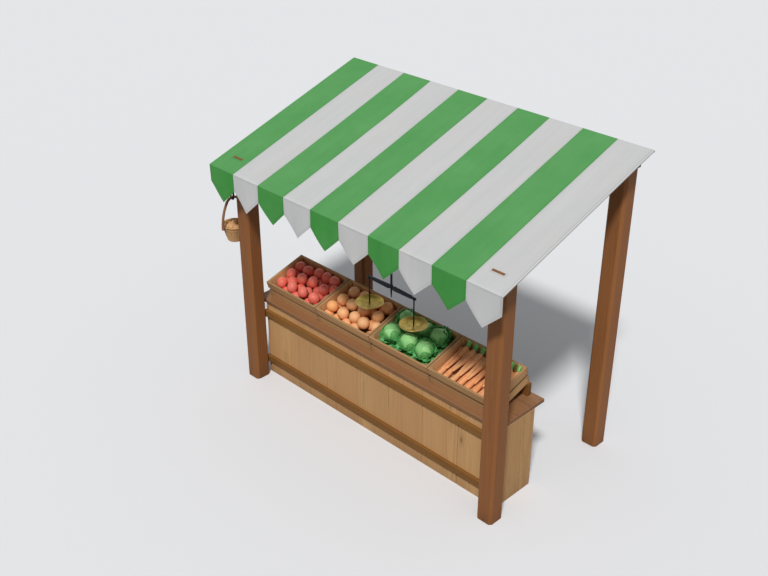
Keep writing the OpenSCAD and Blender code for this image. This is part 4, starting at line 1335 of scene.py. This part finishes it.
class STALL_OT_balance(bpy.types.Operator):
    """Finish the balance: ease its iron, and turn and dish its brass pans"""

    bl_idname = "stall.balance"
    bl_label = "Balance"

    parts = {
        "balance_hanger": "stall", "balance_beam": "balance_arm", "balance_pointer": "balance_arm",
        "left_pan_rod": "left_scale", "right_pan_rod": "right_scale",
    }
    rods = {
        "balance_hanger": (0.007, 0.009), "left_pan_rod": (0.0045, 0.0057), "right_pan_rod": (0.0045, 0.0057),
    }
    half_beam = 0.0045

    def execute(self, context):
        colours = context.scene.stall_colours
        iron, brass = black_iron("black_iron", colours.iron), dull_brass("dull_brass", colours.brass)
        for name, body in self.parts.items():
            piece = eased(name, 0.0006, "iron")
            if name in self.rods:
                self.stouter(piece, name, *self.rods[name])
            if name == "balance_beam":
                self.swell(piece)
            settle(smooth(piece, 32), iron, "iron", name, body=body)
        for side in ("left", "right"):
            name = side + "_pan"
            low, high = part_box(name)
            dish = self.dish((high.x - low.x) / 2, high.z - low.z)
            dish.name = dish.data.name = name + "_dish"
            dish.data.transform(shift(*centre(name)[:2], low.z))
            settle(dish, brass, "brass", name, body=side + "_scale")
        return {"FINISHED"}

    def stouter(self, piece, node, radius, wanted):
        """Thickens the straight part of an upright rod, and leaves its fork and its plate."""
        x, y = centre(node)[0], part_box("balance_beam")[0].y + self.half_beam

        def rule(s):
            out = np.hypot(s[:, 0] - x, s[:, 1] - y)
            grow = np.where(np.abs(out - radius) < 0.0008, wanted / radius, 1)
            return columns(x + (s[:, 0] - x) * grow, y + (s[:, 1] - y) * grow, s[:, 2])

        reshape(piece, rule)

    def swell(self, beam):
        """Makes the arms stouter between the flat eyes, which stay clear of the three forks."""
        middle, pivot = centre("balance_beam")[1:]
        arm, reach = centre("right_pan_rod")[0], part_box("balance_beam")[1].x
        flat, full = 0.016, 0.032
        only(beam)
        bpy.ops.object.mode_set(mode="EDIT")
        for side in (-1, 1):
            for share in (0.0, 0.25, 0.5, 0.75, 1.0):
                near = flat + share * (full - flat)
                for x in (near, arm - near):
                    bpy.ops.mesh.select_all(action="SELECT")
                    bpy.ops.mesh.bisect(plane_co=(side * x, 0, 0), plane_no=(1, 0, 0))
        bpy.ops.object.mode_set(mode="OBJECT")

        def rule(s):
            out = np.abs(s[:, 0])
            t = np.clip((np.minimum(out, arm - out) - flat) / (full - flat), 0, 1)
            t = t * t * (3 - 2 * t)
            line = pivot - 0.003 * out / reach
            y = middle + (s[:, 1] - middle) * (1 + 0.8 * t)
            return columns(s[:, 0], y, line + (s[:, 2] - line) * (1 + 0.3 * t))

        reshape(beam, rule)

    def dish(self, radius, height):
        """A shallow pan with a flat foot and a rolled rim."""
        wall, foot, bead = 0.0022, 0.0006, 0.0028
        base = radius * 0.62
        shares = (0.3, 0.6, 0.85, 1.0)
        rise = [(base + (radius - 0.006 - base) * t, foot + (height - 0.006) * t ** 1.25) for t in shares]
        outer = [(0.0, 0.0), (base - 0.004, 0.0), (base, foot), *rise]
        angles = [math.radians(a) for a in range(-90, 181, 30)]
        rim = [(radius - bead + bead * math.cos(a), height - bead + bead * math.sin(a)) for a in angles]
        inner = [(r - wall * 0.7, z + wall) for r, z in reversed(outer[2:-1])]
        return smooth(lathe(outer + rim + inner + [(base - 0.006, wall), (0.0, wall)], 72), 45)


class STALL_OT_basket(bpy.types.Operator):
    """Weave the hanging basket, fill it with rolls and finish its hook and handle"""

    bl_idname = "stall.basket"
    bl_label = "Hanging basket"

    stakes = rows = 24
    base = 0.060
    top_rolls = (
        (-40, -26, 0, 70), (4, -52, 2, 10), (46, -14, -2, 80), (22, 44, 3, -25), (-34, 38, 1, 40),
        (2, -4, 14, -35),
    )
    lower_rolls = (
        (-52, 4, -16, 5), (30, -44, -20, 130), (52, 24, -20, -60), (-8, 58, -18, 100), (-26, -48, -22, 150),
        (4, 22, -24, 0), (-20, 0, -26, 90),
    )

    def execute(self, context):
        colours = context.scene.stall_colours
        iron = black_iron("hook_iron", colours.iron)
        wicker = cane_skin("wicker", colours.wicker, 0.55)
        cane = cane_skin("handle_cane", colours.cane, 0.45)
        crust = fruit_skin(
            "roll_crust", colours.crust, (0.74, 0.51, 0.30),
            rough=0.62, dimple=160.0, depth=0.0012, patch=30.0,
        )
        low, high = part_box("basket")
        middle = centre("basket")[:2]
        basket = self.weave((high.x - low.x) / 2, high.z - low.z)
        basket.data.transform(shift(*middle, low.z))
        settle(basket, wicker, "wicker", "basket")
        settle(smooth(eased("basket_hook", 0.0008, "iron"), 32), iron, "iron", "basket_hook")
        handle = change(eased("basket_handle", 0.0005, "cane"), "DISPLACE", strength=0.0028, mid_level=0.0)
        settle(even_mark(smooth(handle), "tone", 0.0), cane, "cane", "basket_handle")
        settle(self.wraps(high.z), cane, "cane")
        settle(self.rolls(*middle, high.z), crust, "crust", "basket_rolls")
        return {"FINISHED"}

    def ring(self, radius, thick, height, wave, count, phase, flat=1.0):
        """One woven rod: a torus that passes in and out of the stakes."""
        bpy.ops.mesh.primitive_torus_add(
            major_segments=96, minor_segments=6, major_radius=radius, minor_radius=thick, location=(0, 0, 0)
        )

        def rule(s):
            around, out = polar(s)
            grow = (out + wave * np.cos(count / 2 * around + phase)) / out
            return columns(s[:, 0] * grow, s[:, 1] * grow, s[:, 2] * flat + height)

        rng = random.Random(int(height * 1e5) + int(radius * 1e5))
        return even_mark(reshape(bpy.context.object, rule), "tone", rng.uniform(-1, 1))

    def weave(self, radius, height):
        """Woven rows up the wall, rounds in the bottom, a rim of three twisted rods, and the stakes."""
        base, rim = self.base, radius - 0.005
        parts = []
        for i in range(self.rows):
            z = 0.007 + i * (height - 0.015) / (self.rows - 1)
            out = base + (rim - base) * z / height
            parts.append(self.ring(out - 0.003, 0.0041, z, 0.0028, self.stakes, math.pi * (i % 2), 0.9))
        parts += [self.ring(0.007 + i * 0.0070, 0.0037, 0.0042, 0.0, 2, 0.0, 0.8) for i in range(8)]
        for k in range(3):

            def twist(s, k=k):
                around, out = polar(s)
                turnings = 16 * around + k * 2 * math.pi / 3
                grow = (out + 0.0022 * np.cos(turnings)) / out
                return columns(s[:, 0] * grow, s[:, 1] * grow, s[:, 2] + 0.0022 * np.sin(turnings))

            parts.append(reshape(self.ring(rim, 0.0034, height - 0.0062, 0.0, 2, 0.0), twist))
        lean = math.atan2(rim - base, height)
        upright = shift((base + rim) / 2 - 0.003, 0, height / 2) @ Matrix.Rotation(lean, 4, "Y")
        length = (height - 0.006) / math.cos(lean)
        for i in range(self.stakes):
            bpy.ops.mesh.primitive_cylinder_add(vertices=7, radius=0.0026, depth=length)
            stake = even_mark(bpy.context.object, "tone", 0.3)
            stake.data.transform(turn("Z", (i + 0.5) * 360 / self.stakes) @ upright)
            parts.append(stake)
        return smooth(joined(parts, "basket_weave"), 50)

    def wraps(self, rim):
        """Cane wound round the feet of the handle, where it meets the rim."""
        low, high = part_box("basket_handle")
        parts = []
        for side in (low.y + 0.009, high.y - 0.009):
            for i in range(8):
                bpy.ops.mesh.primitive_torus_add(
                    major_segments=20, minor_segments=6, major_radius=0.0118, minor_radius=0.0022,
                    location=((low.x + high.x) / 2, side, rim - 0.022 + i * 0.0038),
                    rotation=(math.radians(7), 0, 0),
                )
                parts.append(even_mark(set_place(bpy.context.object), "tone", 0.2))
        return smooth(joined(parts, "handle_wraps"), 60)

    def rolls(self, x, y, rim):
        """Long rolls with a split crust, heaped to the rim, and more below them."""
        radius, length = 0.025, 0.039
        bpy.ops.mesh.primitive_uv_sphere_add(segments=30, ring_count=20, radius=1)

        def rule(s):
            u, v, w = s.T
            split = np.exp(-((u / 0.10) ** 2)) * np.clip(w - 0.35, 0, 1) * np.clip(1 - (v / 0.85) ** 4, 0, 1)
            lift = 0.09 * np.exp(-(((np.abs(u) - 0.19) / 0.08) ** 2)) * np.clip(w, 0, 1)
            z = w * np.where(w < 0, 0.80, 0.94) - 0.17 * split + lift
            stout = 1 + 0.10 * (1 - v ** 2)
            return columns(u * radius * stout, v * length, z * radius * stout)

        roll = smooth(reshape(bpy.context.object, rule), 60)
        places = []
        for i, (right, back, up, way) in enumerate(self.top_rolls + self.lower_rolls):
            spot = shift(x + right / 1000, y + back / 1000, rim - radius + 0.006 + up / 1000)
            places.append(spot @ turn("Z", way - 90) @ turn("X", 5 * math.sin(i)))
        return copies(roll, places, "bread_rolls", [0.6 * math.sin(5 * i) for i in range(len(places))])


class STALL_OT_fixings(bpy.types.Operator):
    """Drive the nails that hold the boards, rails and tabletop"""

    bl_idname = "stall.fixings"
    bl_label = "Nails"

    boards, planks = 7, 4

    def execute(self, context):
        finish = black_iron("counter_nails", [c * 1.6 for c in context.scene.stall_colours.iron])
        low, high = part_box("front_boards")
        top_low, top_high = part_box("tabletop")
        forward = turn("X", 90)
        spots = []
        pitch = (high.x - low.x) / self.boards
        for i in range(self.boards):
            for share in (0.22, 0.78):
                x = low.x + (i + share) * pitch
                spots.append(shift(x, low.y, high.z - 0.030) @ forward)
                for rail in ("upper_rail", "lower_rail"):
                    spots.append(shift(x, low.y - 0.026, centre(rail)[2]) @ forward)
        deep = (top_high.y - top_low.y) / self.planks
        for i in range(self.planks):
            for share in (0.25, 0.75):
                y = top_low.y + (i + share) * deep
                spots += [shift(x, y, top_high.z) for x in (high.x + 0.015, low.x - 0.015)]
        for side, node in ((1, "right_end_panel"), (-1, "left_end_panel")):
            near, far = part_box(node)
            x = far.x if side > 0 else near.x
            for z in (0.15, 0.678):
                spots += [shift(x, y, z) @ turn("Y", 90 * side) for y in (near.y + 0.045, far.y - 0.02)]
        settle(copies(nail_head(), spots, "counter_nails"), finish, "iron")
        return {"FINISHED"}


class STALL_OT_stage(bpy.types.Operator):
    """Set up the floor, the soft lights, the pale surroundings and the camera"""

    bl_idname = "stall.stage"
    bl_label = "Stage"

    toward_sun = Vector((0.335, -0.494, 0.802))

    def execute(self, context):
        scene = context.scene
        scene.view_settings.view_transform = "Standard"
        self.floor()
        self.sun()
        self.surround(scene)
        self.camera(scene)
        return {"FINISHED"}

    def floor(self):
        """A plain floor that looks pale but sheds little light on the stall."""
        bpy.ops.mesh.primitive_plane_add(size=60, location=(0, 0, -0.0005))
        floor = set_place(bpy.context.object)
        floor.name = "floor"
        plain = Finish("plain_floor", {"Roughness": 0.9, "Specular IOR Level": 0.1})
        plain.feed("Base Color", plain.mix(plain.seen(), (0.22, 0.22, 0.22, 1), (0.80, 0.80, 0.81, 1)))
        floor.data.materials.append(plain.material)

    def sun(self):
        """The key light, high at the front right; its width softens the shadows."""
        bpy.ops.object.light_add(type="SUN", location=self.toward_sun * 8)
        lamp = bpy.context.object
        lamp.name = "key"
        lamp.data.energy = 2.6
        lamp.data.angle = math.radians(7)
        lamp.rotation_euler = self.toward_sun.to_track_quat("Z", "Y").to_euler()

    def surround(self, scene):
        """Plain light from all round; the camera and shiny surfaces see it white."""
        world = scene.world = bpy.data.worlds.new("surround")
        world.use_nodes = True
        world.node_tree.nodes.clear()
        nodes = Nodes(world.node_tree)
        soft = nodes.add("ShaderNodeBackground", {}, {"Color": (0.93, 0.96, 1.0, 1), "Strength": 0.33})
        white = nodes.add("ShaderNodeBackground", {}, {"Color": (1, 1, 1, 1), "Strength": 1.0})
        blend = nodes.add("ShaderNodeMixShader", {}, {0: nodes.seen(), 1: soft, 2: white})
        nodes.add("ShaderNodeOutputWorld", {}, {"Surface": blend})

    def camera(self, scene):
        bpy.ops.object.camera_add(
            location=(4.991, -4.865, 5.277), rotation=[math.radians(a) for a in (60.62, 0.0, 45.04)]
        )
        scene.camera = bpy.context.object
        scene.camera.data.lens = 49.57
        scene.camera.data.sensor_width = 36.0


steps = (
    STALL_OT_posts, STALL_OT_counter, STALL_OT_canopy, STALL_OT_crates, STALL_OT_tomatoes, STALL_OT_oranges,
    STALL_OT_cabbages, STALL_OT_carrots, STALL_OT_balance, STALL_OT_basket, STALL_OT_fixings, STALL_OT_stage,
)


class STALL_PT_panel(bpy.types.Panel):
    """Lists the stall's pieces and their settings"""

    bl_label = "Market stall"
    bl_idname = "STALL_PT_panel"
    bl_space_type = "VIEW_3D"
    bl_region_type = "UI"
    bl_category = "Stall"

    def draw(self, context):
        for step in steps:
            self.layout.operator(step.bl_idname)
        for group in (context.scene.stall_sizes, context.scene.stall_colours):
            for name in group.__annotations__:
                self.layout.prop(group, name)


classes = (StallSizes, StallColours, *steps, STALL_PT_panel)


def register():
    for entry in classes:
        bpy.utils.register_class(entry)
    bpy.types.Scene.stall_sizes = bpy.props.PointerProperty(type=StallSizes)
    bpy.types.Scene.stall_colours = bpy.props.PointerProperty(type=StallColours)


def unregister():
    del bpy.types.Scene.stall_sizes
    del bpy.types.Scene.stall_colours
    for entry in reversed(classes):
        bpy.utils.unregister_class(entry)


def main():
    register()
    for step in steps:
        group, name = step.bl_idname.split(".")
        getattr(getattr(bpy.ops, group), name)()


if __name__ == "__main__":
    main()
